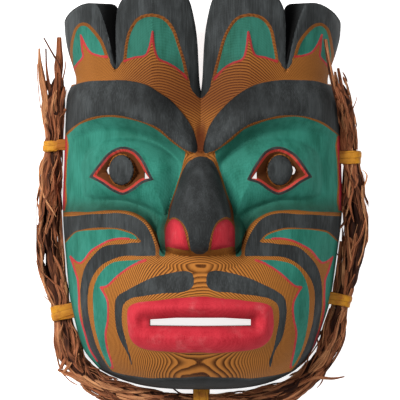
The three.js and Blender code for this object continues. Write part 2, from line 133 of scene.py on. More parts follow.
def curve_through(points, steps):
    """Points of a smooth open curve through the given ones, with so many steps between each two."""
    p = np.array(points, float)
    p = np.vstack([2 * p[0] - p[1], p, 2 * p[-1] - p[-2]])
    gap = np.linalg.norm(np.diff(p, axis=0), axis=1) ** 0.5
    made = []
    for i in range(1, len(p) - 2):
        d0, d1, d2 = gap[i - 1], gap[i], gap[i + 1]
        leave = ((p[i] - p[i - 1]) / d0 - (p[i + 1] - p[i - 1]) / (d0 + d1) + (p[i + 1] - p[i]) / d1) * d1
        arrive = ((p[i + 1] - p[i]) / d1 - (p[i + 2] - p[i]) / (d1 + d2) + (p[i + 2] - p[i + 1]) / d2) * d1
        t = np.linspace(0, 1, steps, endpoint=False)[:, None]
        made.append(
            (2 * t**3 - 3 * t**2 + 1) * p[i]
            + (t**3 - 2 * t**2 + t) * leave
            + (3 * t**2 - 2 * t**3) * p[i + 1]
            + (t**3 - t**2) * arrive
        )
    return np.vstack(made + [p[-2]])


def outline(*runs):
    """One chain of points from runs that meet at corners. A run of two points is straight."""
    smooth = [curve_through(run, 6) if len(run) > 2 else np.array(run, float) for run in runs]
    return np.vstack(smooth)


def distance(x, y, line):
    """Distance from each point to a chain of points."""
    best = np.full(x.shape, np.inf)
    for (ax, ay), (bx, by) in zip(line[:-1], line[1:]):
        dx, dy = bx - ax, by - ay
        length = dx * dx + dy * dy
        if length > 0:
            t = clamp(((x - ax) * dx + (y - ay) * dy) / length, 0, 1)
            best = np.minimum(best, (x - ax - t * dx) ** 2 + (y - ay - t * dy) ** 2)
    return np.sqrt(best)


def inside(x, y, line):
    """How deep each point lies inside a closed outline. It is negative outside."""
    closed = np.vstack([line, line[:1]])
    within = np.zeros(x.shape, bool)
    for (ax, ay), (bx, by) in zip(closed[:-1], closed[1:]):
        if ay != by:
            crosses = (ay > y) != (by > y)
            within ^= crosses & (x < ax + (y - ay) * (bx - ax) / (by - ay))
    return np.where(within, 1, -1) * distance(x, y, closed)


# The painted shapes of one side, as (distance from the centre line, y)

BROW_TOP = [
    (2, 37.5), (3, 43.5), (7, 56.5), (17.5, 71.5), (34.5, 86), (51.5, 94), (77, 96.5), (102.5, 95),
    (113.5, 91.5), (121, 88),
]
BROW_FOOT = [
    (4, 34.5), (11.5, 36), (23.5, 44.5), (37, 55.5), (51.5, 61.5), (68.5, 65.5), (85.5, 65.5),
    (102.5, 60.5), (113.5, 53), (121, 47),
]
ORB = [
    (102.5, 8), (101.5, 26.5), (96.5, 37.5), (83.5, 45), (68.5, 47.5), (49.5, 46), (27, 36), (17.5, 25),
    (21, 3.5), (26, -15), (29.5, -24.5),
]
ORB_FOOT = [(29.5, -24.5), (36, -17), (50.5, -9.5), (68.5, -5), (90, -4), (100, -0.5), (102.5, 8)]
EYE_TOP = [(95, 14.5), (87, 25), (78.5, 35), (65.5, 40), (55, 37), (46.5, 26), (39, 12)]
EYE_FOOT = [(39, 12), (49, 9), (57.5, 3), (65.5, -0.5), (75, 3), (84.5, 9.5), (95, 14.5)]
IRIS = {"x": 66.9, "y": 20.4, "rx": 10.6, "ry": 12.8}
HOLE_OUT = [(77.2, 24), (79, 22.8), (80, 20.4), (79, 17.6), (77.2, 16.4), (78, 20.4)]
HOLE_IN = [(43.2, 13.5), (47.4, 13), (47.2, 19.2)]
NOSE_SIDE = [(-10, 28.5), (0, 32), (10, 28.5), (15.5, 20), (21, 3), (26, -12.5), (27.5, -22)]
NOSTRIL_WING = [
    (29.5, -46.5), (30, -39), (29, -27.5), (26, -22), (22, -20), (18, -21.5), (14.5, -24.5), (11, -32),
    (9.5, -39.5), (8, -47.5),
]
NOSE_TIP = [(8, -47.5), (4.5, -49.5), (0, -50.2), (-10, -49)]
NOSTRIL_FOOT = [(8, -47.5), (10.5, -47.5), (19, -45.5), (27, -44.5), (29.5, -46.5)]
CHEEK_LINE = [
    (121, -16), (98, -15.5), (74, -14), (61, -15), (49.5, -20), (43, -25.5), (38, -34), (35.5, -43.5),
    (35.5, -52.5),
]
BAND_TOP = [
    (121, -19), (106.5, -18), (83.5, -16.5), (68.5, -16), (57, -18), (49.5, -22.5), (44, -29.5),
    (40, -37), (37.5, -45.5), (37.5, -52),
]
BAND_INNER = [
    (37.5, -52), (50.5, -52), (61, -52), (71.5, -53.5), (81.5, -58.5), (89, -65.5), (94, -74),
    (96, -82.5), (96, -95.5), (93.5, -112.5), (89, -128.5), (83.5, -140), (79, -147.5), (75, -152),
]
BAND_OUTER = [
    (81, -154.5), (86.5, -147.5), (91, -140), (96, -128.5), (99.5, -116), (102, -100), (102.5, -90),
    (102.5, -77), (100.5, -67), (96.5, -58.5), (90, -50.5), (83, -45), (75, -42.5), (63, -41.5),
    (50.5, -40),
]
ARM_FOOT = [
    (50.5, -39.5), (56, -34), (63, -31), (71.5, -29), (84.5, -29), (98, -30), (107, -32), (112, -36),
    (115, -39), (121, -44),
]
ARM_RED = [
    (51, -39), (61, -37.5), (71.5, -38), (78.5, -39.5), (85.5, -43), (93, -48), (98.5, -54.5),
    (102.5, -58), (106, -57.5), (109, -55.5), (112, -53),
]
EDGE_RED = [
    (112, -53), (110, -58.5), (107.5, -65.5), (105, -72), (104.5, -82.5), (104.5, -95.5), (102, -109.5),
    (98.5, -122), (95, -132.5), (89.5, -141.5),
]
CRESCENT_OUT = [
    (46.5, -55), (51, -55.2), (64.5, -56), (77, -59), (84.5, -65.5), (89, -74), (91.5, -84.5), (91, -105),
    (88, -122), (83.5, -136), (78, -146.5),
]
CRESCENT_RED = [(46, -55.6), (54, -58.5), (63, -63.5), (70, -69), (76, -75), (80, -78), (85, -78.5)]
CRESCENT_TAIL = [
    (85, -78.5), (81.5, -84), (78.5, -91.5), (78.5, -105), (80.5, -117), (79, -130.5), (76, -143.5),
    (75.5, -147.5),
]
MOUSTACHE_OUT = [
    (5, -71), (6.5, -66.5), (11, -64.5), (30, -67), (47, -73), (63.5, -81.5), (70.5, -87), (72.5, -95.5),
    (72, -107.5), (68.5, -121), (62.5, -133), (58.5, -146.5),
]
MOUSTACHE_IN = [
    (58.5, -146.5), (58, -141.5), (60.5, -133), (63.5, -122), (65.5, -111.5), (66, -100), (64.5, -92.5),
    (59, -88), (47.5, -85.5), (29.5, -83), (15.5, -82), (9, -80), (5.5, -76), (5, -71),
]
LIPS = [
    (-34.5, -89), (-6, -86), (0, -86), (6, -86), (34.5, -89), (53.5, -91.5), (60, -95), (61.5, -101),
    (61, -114.5), (58, -123), (51.5, -128.5), (38, -131.5), (15.5, -133), (0, -133), (-15.5, -133),
    (-38, -131.5),
]
CHIN_TOP = [(-25, -155), (0, -154), (25, -155), (44, -155.5), (62.5, -153.5), (75, -151), (87, -147.5)]
OUTER_U = [
    (111, 104), (111.5, 114), (111, 124.5), (109.3, 133), (106.6, 140.5), (102.5, 144), (97.5, 143.6),
    (92, 139.5), (84.5, 129.5), (79.5, 116),
]
OUTER_SPIKE = (102.5, 135.5)
OUTER_RED = [(79.5, 116), (87, 117.5), (93, 119.5), (97.5, 124.5), OUTER_SPIKE]
OUTER_RED_TAIL = [OUTER_SPIKE, (101, 122.5), (100.5, 117), (106, 111), (111, 104)]
MIDDLE_U = [
    (64.5, 112), (62.5, 126), (59, 139), (52.5, 148), (42, 150.8), (31, 148.3), (23, 138), (17.5, 123),
    (13.4, 107.5), (11.2, 97),
]
MIDDLE_SPIKE = (40.3, 137)
MIDDLE_RED = [(11.2, 97), (19, 105.3), (27.5, 110.5), (35.5, 114), (38.6, 121), MIDDLE_SPIKE]
MIDDLE_RED_TAIL = [MIDDLE_SPIKE, (43.6, 122), (46.5, 117), (55, 115.4), (64.5, 112)]
NOTCH_FOOT = [(79.5, 116), (76, 109.5), (73.2, 105.8), (71.4, 105.4), (69, 107.4), (64.5, 112)]
CENTRE_FOOT = [(11.2, 97), (9, 92), (5.5, 85.5), (0, 81), (-5.5, 85.5)]

# The closed outlines made from them
SHAPES = {
    "brow": outline(BROW_TOP, BROW_FOOT[::-1], [BROW_FOOT[0], BROW_TOP[0]]),
    "orb": outline(ORB, ORB_FOOT),
    "eye": outline(EYE_TOP, EYE_FOOT),
    "nose": outline(NOSE_SIDE, [NOSE_SIDE[-1], NOSTRIL_WING[3]], NOSTRIL_WING[3:], NOSE_TIP),
    "nostril": outline(NOSTRIL_WING, NOSTRIL_FOOT),
    "socket": outline(
        BROW_FOOT[1:], [BROW_FOOT[-1], (121, -16)], CHEEK_LINE, [(35.5, -52.5), (30, -52), (29, -27.5)],
        NOSE_SIDE[:2:-1], [NOSE_SIDE[3], BROW_FOOT[1]],
    ),
    "band": outline(BAND_TOP, BAND_INNER, [BAND_INNER[-1], BAND_OUTER[0]], BAND_OUTER, ARM_FOOT),
    "cheek": outline(
        ARM_RED, EDGE_RED, [EDGE_RED[-1], (84, -150), (125, -150), (125, -46)], ARM_FOOT[::-1],
    ),
    "crescent": outline(CRESCENT_OUT, CRESCENT_TAIL[::-1], CRESCENT_RED[::-1]),
    "moustache": outline(MOUSTACHE_OUT, MOUSTACHE_IN),
    "lips": outline(LIPS),
    "chin": outline(CHIN_TOP, [(87, -147.5), (92, -172), (-25, -172)]),
    "outer_u": outline(OUTER_U, OUTER_RED, OUTER_RED_TAIL),
    "middle_u": outline(MIDDLE_U, MIDDLE_RED, MIDDLE_RED_TAIL),
    "forehead": outline(
        OUTER_RED_TAIL[::-1], OUTER_RED[::-1], NOTCH_FOOT, MIDDLE_RED_TAIL[::-1], MIDDLE_RED[::-1],
        CENTRE_FOOT, [(-5.5, 85.5), (-5.5, 30), (121, 80), (121, 96), (111, 104)],
    ),
}
# The lines of bare wood between painted shapes, each with half its width
WOOD_LINES = {
    "brow_foot": (outline(BROW_FOOT[1:]), 0.75),
    "cheek_line": (outline(CHEEK_LINE), 0.75),
    "nose_side": (outline(NOSE_SIDE[2:]), 0.6),
    "nostril_wing": (outline(NOSTRIL_WING), 0.75),
    "arm_foot": (outline(ARM_FOOT), 0.65),
    "outer_u": (outline(OUTER_U), 1.35),
    "middle_u": (outline(MIDDLE_U), 1.3),
}
# The lines of bare wood that each painted shape leaves free along its edge
LINED = {
    "brow": ["brow_foot"],
    "socket": ["brow_foot", "cheek_line", "nose_side", "nostril_wing"],
    "nose": ["nose_side", "nostril_wing"],
    "nostril": ["nostril_wing"],
    "band": ["arm_foot"],
    "cheek": ["arm_foot"],
    "outer_u": ["outer_u"],
    "middle_u": ["middle_u"],
}
RED_LINES = [
    outline(ARM_RED[1:], EDGE_RED),
    outline(CRESCENT_RED, CRESCENT_TAIL),
    outline(OUTER_RED, OUTER_RED_TAIL),
    outline(MIDDLE_RED, MIDDLE_RED_TAIL),
]
RED_HALF = 0.88  # half the width of the red lines
RED_REACH = 1.4  # a red line follows the edge of a green shape where one of the lines above is this near
LID_BLACK = 2.1  # width of the black line round the eye
LID_RED = 2.0  # and of the red line inside it
IRIS_RIM = 0.9  # the wooden rim of the iris
CROWN_PAINT_Y = 76  # the black of the crown starts here, where the wood of the forehead doesn't cover it
# The red of the head's sides beside the sockets, with a line of bare wood along it. It rises by a wedge near
# its two ends, which is full and gone again at these distances from an end
SIDE_RED = {"low": -14, "high": 50, "z": 29, "line": 4, "wedge": 3, "full": 8, "gone": 26}


def ellipse_depth(x, y, e):
    """Roughly how deep each point lies inside an ellipse."""
    share = np.sqrt(((x - e["x"]) / e["rx"]) ** 2 + ((y - e["y"]) / e["ry"]) ** 2)
    return (1 - share) * min(e["rx"], e["ry"])


def wobble(x, y):
    """The unsteadiness of a brush, in millimetres."""
    return 0.16 * np.sin(x / 4.3 + 1.7 * np.sin(y / 9)) + 0.16 * np.sin(y / 5.1 + 1.9 * np.sin(x / 11))


def paint(x, y, z):
    """Signed distances, in millimetres, that the paint's edges follow where they are 0."""
    unsteady = wobble(x, y)
    ax = np.abs(x)
    off_line = {name: distance(ax, y, points) for name, (points, _) in WOOD_LINES.items()}
    beside = {name: half * fall(2.5, 6, off_line[name]) for name, (_, half) in WOOD_LINES.items()}
    whole = {name: inside(ax, y, line) + unsteady for name, line in SHAPES.items()}
    painted = {}
    for name, depth in whole.items():
        painted[name] = depth - max_of([beside[line] for line in LINED.get(name, [])])
    off_forehead = [-whole["forehead"], -whole["outer_u"], -whole["middle_u"]]
    crown = np.minimum.reduce([y - CROWN_PAINT_Y] + off_forehead)
    crown -= max_of([beside["outer_u"], beside["middle_u"]])
    ends = np.minimum(y - SIDE_RED["low"], SIDE_RED["high"] - y)
    wedge = ramp(0, SIDE_RED["full"], ends) * fall(SIDE_RED["full"], SIDE_RED["gone"], ends)
    side = SIDE_RED["z"] + SIDE_RED["wedge"] * wedge - z
    nose = np.minimum(painted["nose"], -whole["nostril"])
    return {
        "green": max_of([painted[name] for name in ("socket", "cheek", "crescent", "outer_u", "middle_u")]),
        "black": max_of([crown, nose] + [painted[name] for name in ("brow", "band", "moustache", "chin")]),
        "red": max_of([painted["lips"], painted["nostril"], np.minimum(side, ends)]),
        "side": np.minimum(side + SIDE_RED["line"], ends),
        "edge": max_of([whole[name] for name in ("cheek", "crescent", "outer_u", "middle_u")]),
        "edged": RED_REACH - np.minimum.reduce([distance(ax, y, line) for line in RED_LINES]),
        "eye": whole["eye"],
        "iris": ellipse_depth(ax, y, IRIS),
        "lined": np.minimum.reduce(list(off_line.values())),
        "grime_and_shade": grime_and_shade(ax, y, z, whole, off_line),
    }


# The gap between a middle lobe and the outer lobe beside it, where a shadow is painted
LOBE_GAP = {"x": 71.5, "foot_x": 74, "foot_y": 109, "lean": 0.167}
GAP_SIDE = (71, 72, 78, 91)  # distances from the centre line at which the painted shadow on its sides starts and fades
# How much darker each place is drawn, mostly as painted shade where shade falls, and as darker colour where
# marked below
GRIME_AND_SHADE = {
    "beside_nose": 0.85, "mouth": 0.5, "root": 0.85, "seam": 0.7, "nostril": 0.5, "forehead": 0.34, "gap": 1,
    "chin": 0.7, "rim": 0.7, "cheek": 0.62, "nose": 0.4,
}


def grime_and_shade(ax, y, z, depths, off_line):
    """How much darker each point is drawn, mostly painted shade and in places darker colour."""
    off_nose = np.minimum(-depths["nose"], -depths["nostril"])
    off_slit = np.maximum(np.abs(y - MOUTH_Y) - 3, 0.6 * (ax - 42))
    lobe_edge = LOBE_GAP["foot_x"] + LOBE_GAP["lean"] * (y - LOBE_GAP["foot_y"])
    in_gap = np.minimum(ax - LOBE_GAP["x"], lobe_edge - ax)
    places = {
        # Painted shade beside the nose and round the mouth slit
        "beside_nose": fall(1, 11, off_nose) * ramp(-56, -44, y) * fall(-26, -4, y) * ramp(20, 30, ax),
        "mouth": fall(0, 4, off_slit),
        # Darker at the nose's root, along its side and at the nostrils' edges
        "root": fall(2, 8, ax) * ramp(26, 38, y) * fall(50, 74, y),
        "seam": fall(0.6, 2, off_line["nose_side"]) * fall(-12, 12, y),
        "nostril": fall(0.5, 5, depths["nostril"]) * ramp(-0.5, 0.5, depths["nostril"]),
        # The forehead's darker wood, and painted shade on the lobes above it
        "forehead": ramp(60, 80, y) * (1 - 0.6 * ramp(58, 86, ax)) + dome(ax, y, 0, 70, 78, 52, 0.7),
        # Painted shade in the gap between the lobes, on the chin, towards the rim and along the cheek line
        # below the orb
        "gap": ramp(-0.6, 1.2, in_gap) * ramp(-4, 4, y - LOBE_GAP["foot_y"]),
        "chin": ramp(0, 2, depths["chin"]),
        "rim": fall(2, 34, z),
        "cheek": fall(0, 18, off_line["cheek_line"]) * ramp(0, 1, depths["socket"]),
        # Darker on the nose
        "nose": ramp(0, 3, depths["nose"]),
    }
    return max_of([GRIME_AND_SHADE[name] * share for name, share in places.items()])


# The carved relief

NOSE = [
    (-52.5, 29.5, 0), (-51.5, 31, 10), (-48.5, 32, 22), (-44, 33, 31), (-38, 33, 35), (-30, 32, 36),
    (-20, 29, 34), (-6, 26, 28), (10, 21, 19), (24, 15, 8), (36, 9, 0),
]
NOSE_POWER = 2.4
NOSE_BASE = 60  # height at which the nose's form ends, inside the face
NOSE_FILLET, WING_FILLET = 3, 2
NOSTRIL = {"x": 21, "y": -34.5, "z": 90, "rx": 13.5, "ry": 15.5, "rz": 20}
MOUTH_Y = -107
MUZZLE = {"y": -105, "rx": 96, "ry": 66, "rise": 13}
SOCKET_LOW = [
    (20, -50), (30, -51), (34, -46.5), (37, -38), (43, -26), (50, -20), (61, -15), (74, -14), (98, -15.5),
    (121, -16),
]
SOCKET_DEPTH = 12
ORB_RISE = 15
ORB_REACH = 27  # how far inside its outline the orb has risen
BROW_BULGE = 4.6
BROW_STEP = 1.4  # height of the brow's lower and upper edge
VALLEY = 14  # depth of the fold down the middle of the forehead
VALLEY_HALF = 42
LIP_RISE = 7.5
LIP_REACH = 12
SLIT_SUNK = 9  # how deep the lips dip towards the slit between them
LIP_SKIRT = 3  # how high the skin round the lips rises to them
UNDER_NOSE = {"y": -50, "rx": 40, "ry": 16, "rise": 5}
LID_RISE = 0.9
LID_SLOPE = 1.2  # how fast the red of the lids falls off inwards
RECESS_SLOPE = 1.7  # and the recess behind them
RECESS_REACH = 6
IRIS_RISE = 2.2
IRIS_SUNK = 2.4  # how much lower than the face the foot of the iris's swelling is
CROWN_SHAPE_DEPTH = 1.5  # how deep the shapes on the lobes are carved


def arch_height(share, power):
    return np.maximum(0, 1 - np.abs(share) ** power) ** (1 / power)


def dome(x, y, cx, cy, rx, ry, power):
    return np.maximum(0, 1 - ((x - cx) / rx) ** 2 - ((y - cy) / ry) ** 2) ** power


def swelling(depth, reach):
    """Rises from 0 at an outline to 1 at so far inside it, with a soft foot."""
    share = clamp(depth / reach + 0.06, 0, 1)
    return (1 - (1 - share) ** 2) * ramp(0, 0.16, share)


def brow_and_socket(ax, y, orb):
    low = through(BROW_FOOT, ax)
    high = through(BROW_TOP, ax)
    floor = through(SOCKET_LOW, ax)
    bulge = BROW_BULGE * ramp(low - 5, low + 6, y) * fall(high - 22, high + 3, y)
    step = BROW_STEP * ramp(low - 1.8, low + 0.2, y) * fall(high - 1, high + 0.8, y)
    hollow = SOCKET_DEPTH * swelling(y - floor, 11) * fall(low - 13, low, y)
    valley = VALLEY * np.maximum(0, 1 - ax / VALLEY_HALF) ** 1.3 * ramp(30, 62, y)
    return (bulge + step) * ramp(2, 8, ax) + (ORB_RISE * orb - hollow) * ramp(8, 26, ax) - valley


def eye(ax, y, depth):
    """The lids' bevel, the reveal behind them and the iris that stands in it."""
    bevel = -LID_SLOPE * clamp(depth - LID_BLACK + 0.3, 0, LID_RED + 0.3)
    reveal = -RECESS_SLOPE * clamp(depth - LID_BLACK - LID_RED, 0, RECESS_REACH)
    iris = ellipse_depth(ax, y, IRIS)
    ball = IRIS_RISE * swelling(iris, 6) - IRIS_SUNK
    lid = LID_RISE * ramp(-2.5, 0.4, depth) * fall(1.6, 3, depth)
    return lid + np.where(iris > 0, np.maximum(ball, bevel + reveal), bevel + reveal)


def mouth(ax, y, lips):
    swell = MUZZLE["rise"] * dome(ax, y, 0, MUZZLE["y"], MUZZLE["rx"], MUZZLE["ry"], 1)
    lip = LIP_RISE * swelling(lips, LIP_REACH) ** 0.8
    sunk = SLIT_SUNK * fall(0, 14, np.abs(y - MOUTH_Y)) * fall(46, 57, ax)
    lobe = UNDER_NOSE
    under_nose = lobe["rise"] * dome(ax, y, 0, lobe["y"], lobe["rx"], lobe["ry"], 1)
    skirt = LIP_SKIRT * clamp(1 + lips / LIP_REACH, 0, 1) ** 2
    return swell + lip + under_nose + skirt - sunk


def relief(x, y):
    """How far the carving stands proud of the plain dome of the face, without the nose."""
    ax = np.abs(x)
    near = {name: inside(ax, y, SHAPES[name]) for name in ("orb", "eye", "lips", "outer_u", "middle_u")}
    carved = brow_and_socket(ax, y, swelling(near["orb"], ORB_REACH))
    carved += eye(ax, y, near["eye"]) + mouth(ax, y, near["lips"])
    carved -= CROWN_SHAPE_DEPTH * (ramp(0, 1.8, near["outer_u"]) + ramp(0, 1.8, near["middle_u"]))
    return carved


def smooth_max(a, b, radius):
    """The larger of two heights, with a small hollow fillet where they meet."""
    near = np.maximum(radius - np.abs(a - b), 0) / radius
    return np.maximum(a, b) + near * near * radius / 4


def with_nose(x, y, face):
    """Adds the nose and its wings to the heights of the face."""
    stations = np.array(NOSE, float)
    half = through(stations[:, :2], y)
    rise = through(stations[:, [0, 2]], y)
    low, high = NOSE[0][0], NOSE[-1][0]
    over_nose = (y > low) & (y < high) & (np.abs(x) < half)
    bridge = NOSE_BASE + (FACE_DEPTH + rise - NOSE_BASE) * arch_height(x / half, NOSE_POWER)
    bridge = np.where(over_nose, bridge, 0)
    n = NOSTRIL
    off = ((np.abs(x) - n["x"]) / n["rx"]) ** 2 + ((y - n["y"]) / n["ry"]) ** 2
    wing = n["z"] + n["rz"] * np.where(off < 1, np.sqrt(np.maximum(1 - off, 0)), -(off - 1))
    return smooth_max(smooth_max(face, bridge, NOSE_FILLET), wing, WING_FILLET)


# The lobes of the crown, as in the solid, but with the outer ones' inner corners rounded
MIDDLE_LOBE = [
    (72, 80), (71.5, 112), (71.5, 146), (69, 160), (60, 171), (42, 176.5), (24, 174), (12, 166), (0, 160),
]
CENTRE_NOTCH = [(0, 86), (1.2, 96), (2.2, 116), (2.9, 128), (5, 145), (10, 165), (16, 174), (26, 184)]
OUTER_LOBE = [
    (72, 104), (78, 131), (82.5, 147), (86, 156.5), (88.2, 160.4), (92.2, 162), (100, 161.5), (109, 157),
    (115, 151), (117.5, 142), (116, 122), (113, 105), (110.5, 94),
]
LOBE_TURN = math.radians(44)  # how far an outer lobe faces outwards
LOBE_PIVOT = 94  # where its front is level with that of the uncut crown
LOBE_FOOT = 70  # its cutter ends this low, inside the forehead
LOBES_CUT_Y = 94  # above this, what isn't a lobe is cut away
LOBES_MIDDLE_Y = 130
CUT_BACK, CUT_FRONT = -60, 180  # where the cutters that go right through start and end
ROUNDING = 2.6  # radius of the lobes' worn front edges


def lobe_rounding(x, y):
    """How far the front drops beside the edges of the lobes."""
    ax = np.abs(x)
    edges = [outline(MIDDLE_LOBE[1:]), outline(CENTRE_NOTCH), outline(OUTER_LOBE)]
    near = np.minimum.reduce([distance(ax, y, edge) for edge in edges])
    gone = ROUNDING - clamp(near, 0, ROUNDING)
    return ROUNDING - np.sqrt(ROUNDING**2 - gone**2)


# Building closed meshes

def new_piece(name, points, faces, material):
    """An object with a mesh of its own, from points in metres."""
    mesh = bpy.data.meshes.new(name)
    mesh.from_pydata(points.tolist(), [], faces)
    mesh.materials.append(material)
    made = bpy.data.objects.new(name, mesh)
    bpy.context.scene.collection.objects.link(made)
    return made


def points_of(mesh):
    points = np.empty(len(mesh.vertices) * 3)
    mesh.vertices.foreach_get("co", points)
    return points.reshape(-1, 3)


def write_values(piece, values):
    """Gives each point of a piece the named values that its material reads."""
    for name, given in values.items():
        layer = piece.data.attributes.new(name, "FLOAT", "POINT")
        layer.data.foreach_set("value", given.astype(np.float32))


class Solid:
    """Vertices and faces that are collected for one closed mesh."""

    def __init__(self, verts, faces):
        self.verts = np.asarray(verts, float)
        self.faces = faces

    def to_object(self, name, material):
        return new_piece(name, (self.verts + SHIFT) * MM, self.faces, material)


def solid_under(rows):
    """Closes rows of points, each an arch with both feet on one plane, with a flat underside."""
    count, width, _ = rows.shape
    at = np.arange(count * width).reshape(count, width)
    quads = np.stack([at[:-1, :-1], at[:-1, 1:], at[1:, 1:], at[1:, :-1]], axis=-1).reshape(-1, 4)
    under = np.stack([at[:-1, 0], at[1:, 0], at[1:, -1], at[:-1, -1]], axis=-1)
    ends = [at[0, ::-1].tolist(), at[-1].tolist()]
    return Solid(rows.reshape(-1, 3), quads.tolist() + under.tolist() + ends)


def prism(points, low, high):
    """A flat outline, given anticlockwise, pushed from low to high."""
    n = len(points)
    flat = np.asarray(points, float)
    verts = np.vstack([np.column_stack([flat, np.full(n, z)]) for z in (low, high)])
    sides = [[i, (i + 1) % n, n + (i + 1) % n, n + i] for i in range(n)]
    return Solid(verts, sides + [list(range(n))[::-1], list(range(n, 2 * n))])


def mirrored(points):
    return [(-x, y) for x, y in points][::-1]


def anticlockwise(points):
    flat = np.asarray(points, float)
    x, y = flat.T
    area = np.sum(x * np.roll(y, -1) - np.roll(x, -1) * y)
    return flat if area > 0 else flat[::-1]


def cut(target, cutter, operation="DIFFERENCE"):
    """Cuts one object with another and throws the cutter away."""
    modifier = target.modifiers.new("cut", "BOOLEAN")
    modifier.operation = operation
    modifier.solver = "MANIFOLD"
    modifier.object = cutter
    bpy.context.view_layer.update()
    evaluated = target.evaluated_get(bpy.context.evaluated_depsgraph_get())
    done = bpy.data.meshes.new_from_object(evaluated)
    if len(done.polygons) == 0:
        raise ValueError(f"the cut with {cutter.name} left nothing")
    target.modifiers.clear()
    target.data = done
    bpy.data.objects.remove(cutter)


def quarter(q, power):
    angle = q * math.pi / 2
    return 1 - np.cos(angle) ** (2 / power)


# Columns of points on half an arch: where it turns down to the rim, and on the rest of it
FRONT_COLUMNS = (38, 102)
HOLLOW_COLUMNS = (16, 24)
CROWN_COLUMNS = (16, 20)


def across_shares(turn, plain, power):
    """Shares from -1 to 1 across an arch, closer together where it turns down to the rim."""
    standing = 1 - quarter(np.linspace(0, 0.5, turn, endpoint=False), power)
    half = np.concatenate([standing, np.linspace(1 - quarter(0.5, power), 0, plain, endpoint=False)])
    return np.concatenate([-half, [0], half[::-1]])


def row_heights(ax):
    """The heights y of the rows at a distance from the centre line, from the chin up. Each stretch starts at
    the first value and has as many rows as the second, so that they are close where the carving is steep."""
    socket, foot, top = through(SOCKET_LOW, ax), through(BROW_FOOT, ax), through(BROW_TOP, ax)
    guides = [
        (CHIN_TURN_Y, 42), (-80, 40), (socket - 3, 14), (socket + 9, 48), (foot - 13, 16), (foot + 2, 18),
        (top - 2, 6), (top + 3, 14), (112, 56), (CROWN_Y, 1),
    ]
    rows = [JAW_Y + (CHIN_TURN_Y - JAW_Y) * np.linspace(0, 1, 26, endpoint=False) ** 2]
    for (low, count), (high, _) in zip(guides, guides[1:]):
        rows.append(np.linspace(low, high, count, endpoint=False))
    return np.concatenate(rows + [[CROWN_Y]])


def block():
    """The uncut block with the face's relief on its front."""
    shares = across_shares(*FRONT_COLUMNS, SIDE_POWER)
    y = np.array([row_heights(abs(s) * WIDEST) for s in shares]).T
    s = np.broadcast_to(shares, y.shape)
    bow = (JAW_Y - CHIN_Y) * clamp(1 - (y - JAW_Y) / BOW_REACH, 0, 1) ** 4 * (1 - np.abs(s) ** 3)
    x = s * through(HEAD_STATIONS, y) + s * s * through(LEAN_STATIONS, y)
    rise = arch_height(1 - clamp((y - JAW_Y) / CHIN_REACH, 0, 1), CHIN_POWER)
    height = arch_height(s, SIDE_POWER) * rise
    y = y - bow
    z = (FACE_DEPTH + relief(x, y) * ramp(0.25, 0.7, height)) * height
    z = np.where(height > 0, with_nose(x, y, z), 0)
    z -= np.minimum(lobe_rounding(x, y), z)
    return solid_under(np.stack([x, y, z], axis=-1))


HOLLOW = {"low": CHIN_Y + WALL, "top": HEAD_TOP_Y - 14, "end_power": 5, "depth": FACE_DEPTH - WALL - 4}
HOLLOW_HALF = [
    (JAW_Y, 74), (-133, 87), (-107, 96), (-90, 103), (-75, 105.5), (-48, 106.5), (-15, 108), (28, 107),
    (62, 106), (88, 104),
]
HOLLOW_JAW = {"y": JAW_Y + 20, "reach": 30, "narrower": 0.25}
HOLLOW_MOUTH = {"rx": 90, "ry": 60, "deeper": 8}
GOUGE_DEPTH = 0.5


def hollow():
    """The hollow behind the face, with the marks of the gouge."""
    shares = across_shares(*HOLLOW_COLUMNS, SIDE_POWER)
    middle, reach = (HOLLOW["low"] + HOLLOW["top"]) / 2, (HOLLOW["top"] - HOLLOW["low"]) / 2
    side = np.linspace(-1, 1, 61)
    angle = (1 - np.abs(side)) * math.pi / 2
    y = middle + np.sign(side) * reach * np.cos(angle) ** (2 / HOLLOW["end_power"])
    high = np.sin(angle) ** (2 / HOLLOW["end_power"])
    into_jaw = np.maximum(0, HOLLOW_JAW["y"] - y) / HOLLOW_JAW["reach"]
    half = through(HOLLOW_HALF, np.maximum(y, JAW_Y)) * (1 - HOLLOW_JAW["narrower"] * into_jaw**2)
    x = shares[None, :] * half[:, None]
    yy = np.broadcast_to(y[:, None], x.shape)
    behind_mouth = dome(x, yy, 0, MOUTH_Y, HOLLOW_MOUTH["rx"], HOLLOW_MOUTH["ry"], 1)
    inner = HOLLOW["depth"] + HOLLOW_MOUTH["deeper"] * behind_mouth
    gouges = GOUGE_DEPTH * np.sin(yy / 5.5 + 1.5 * np.sin(x / 17)) * np.sin(x / 8 + yy / 31)
    arch = arch_height(shares, SIDE_POWER)[None, :] * high[:, None]
    z = -BELOW_RIM + (inner + gouges + BELOW_RIM) * arch
    return solid_under(np.stack([x, yy, z], axis=-1))


CROWN_SIDE = 100.6  # half the width of the space behind the crown at the rim


def behind_crown():
    """The space behind the crown, from the sloping top of the head up."""
    shares = across_shares(*CROWN_COLUMNS, SIDE_POWER)
    deep = FACE_DEPTH - CROWN_THICKNESS
    z = -BELOW_RIM + (deep + BELOW_RIM) * arch_height(shares, SIDE_POWER)
    x = shares * CROWN_SIDE
    foot = HEAD_TOP_Y - HEAD_TOP_SLOPE * (1 - z / deep)
    rows = [np.column_stack([x, foot + (CROWN_Y + BELOW_RIM - foot) * t, z]) for t in np.linspace(0, 1, 12)]
    return solid_under(np.array(rows))


def crown_front(x):
    """Height of the uncut crown's front half way up the lobes."""
    half = through(HEAD_STATIONS, np.array([LOBES_MIDDLE_Y]))[0]
    return FACE_DEPTH * arch_height(x / half, SIDE_POWER)


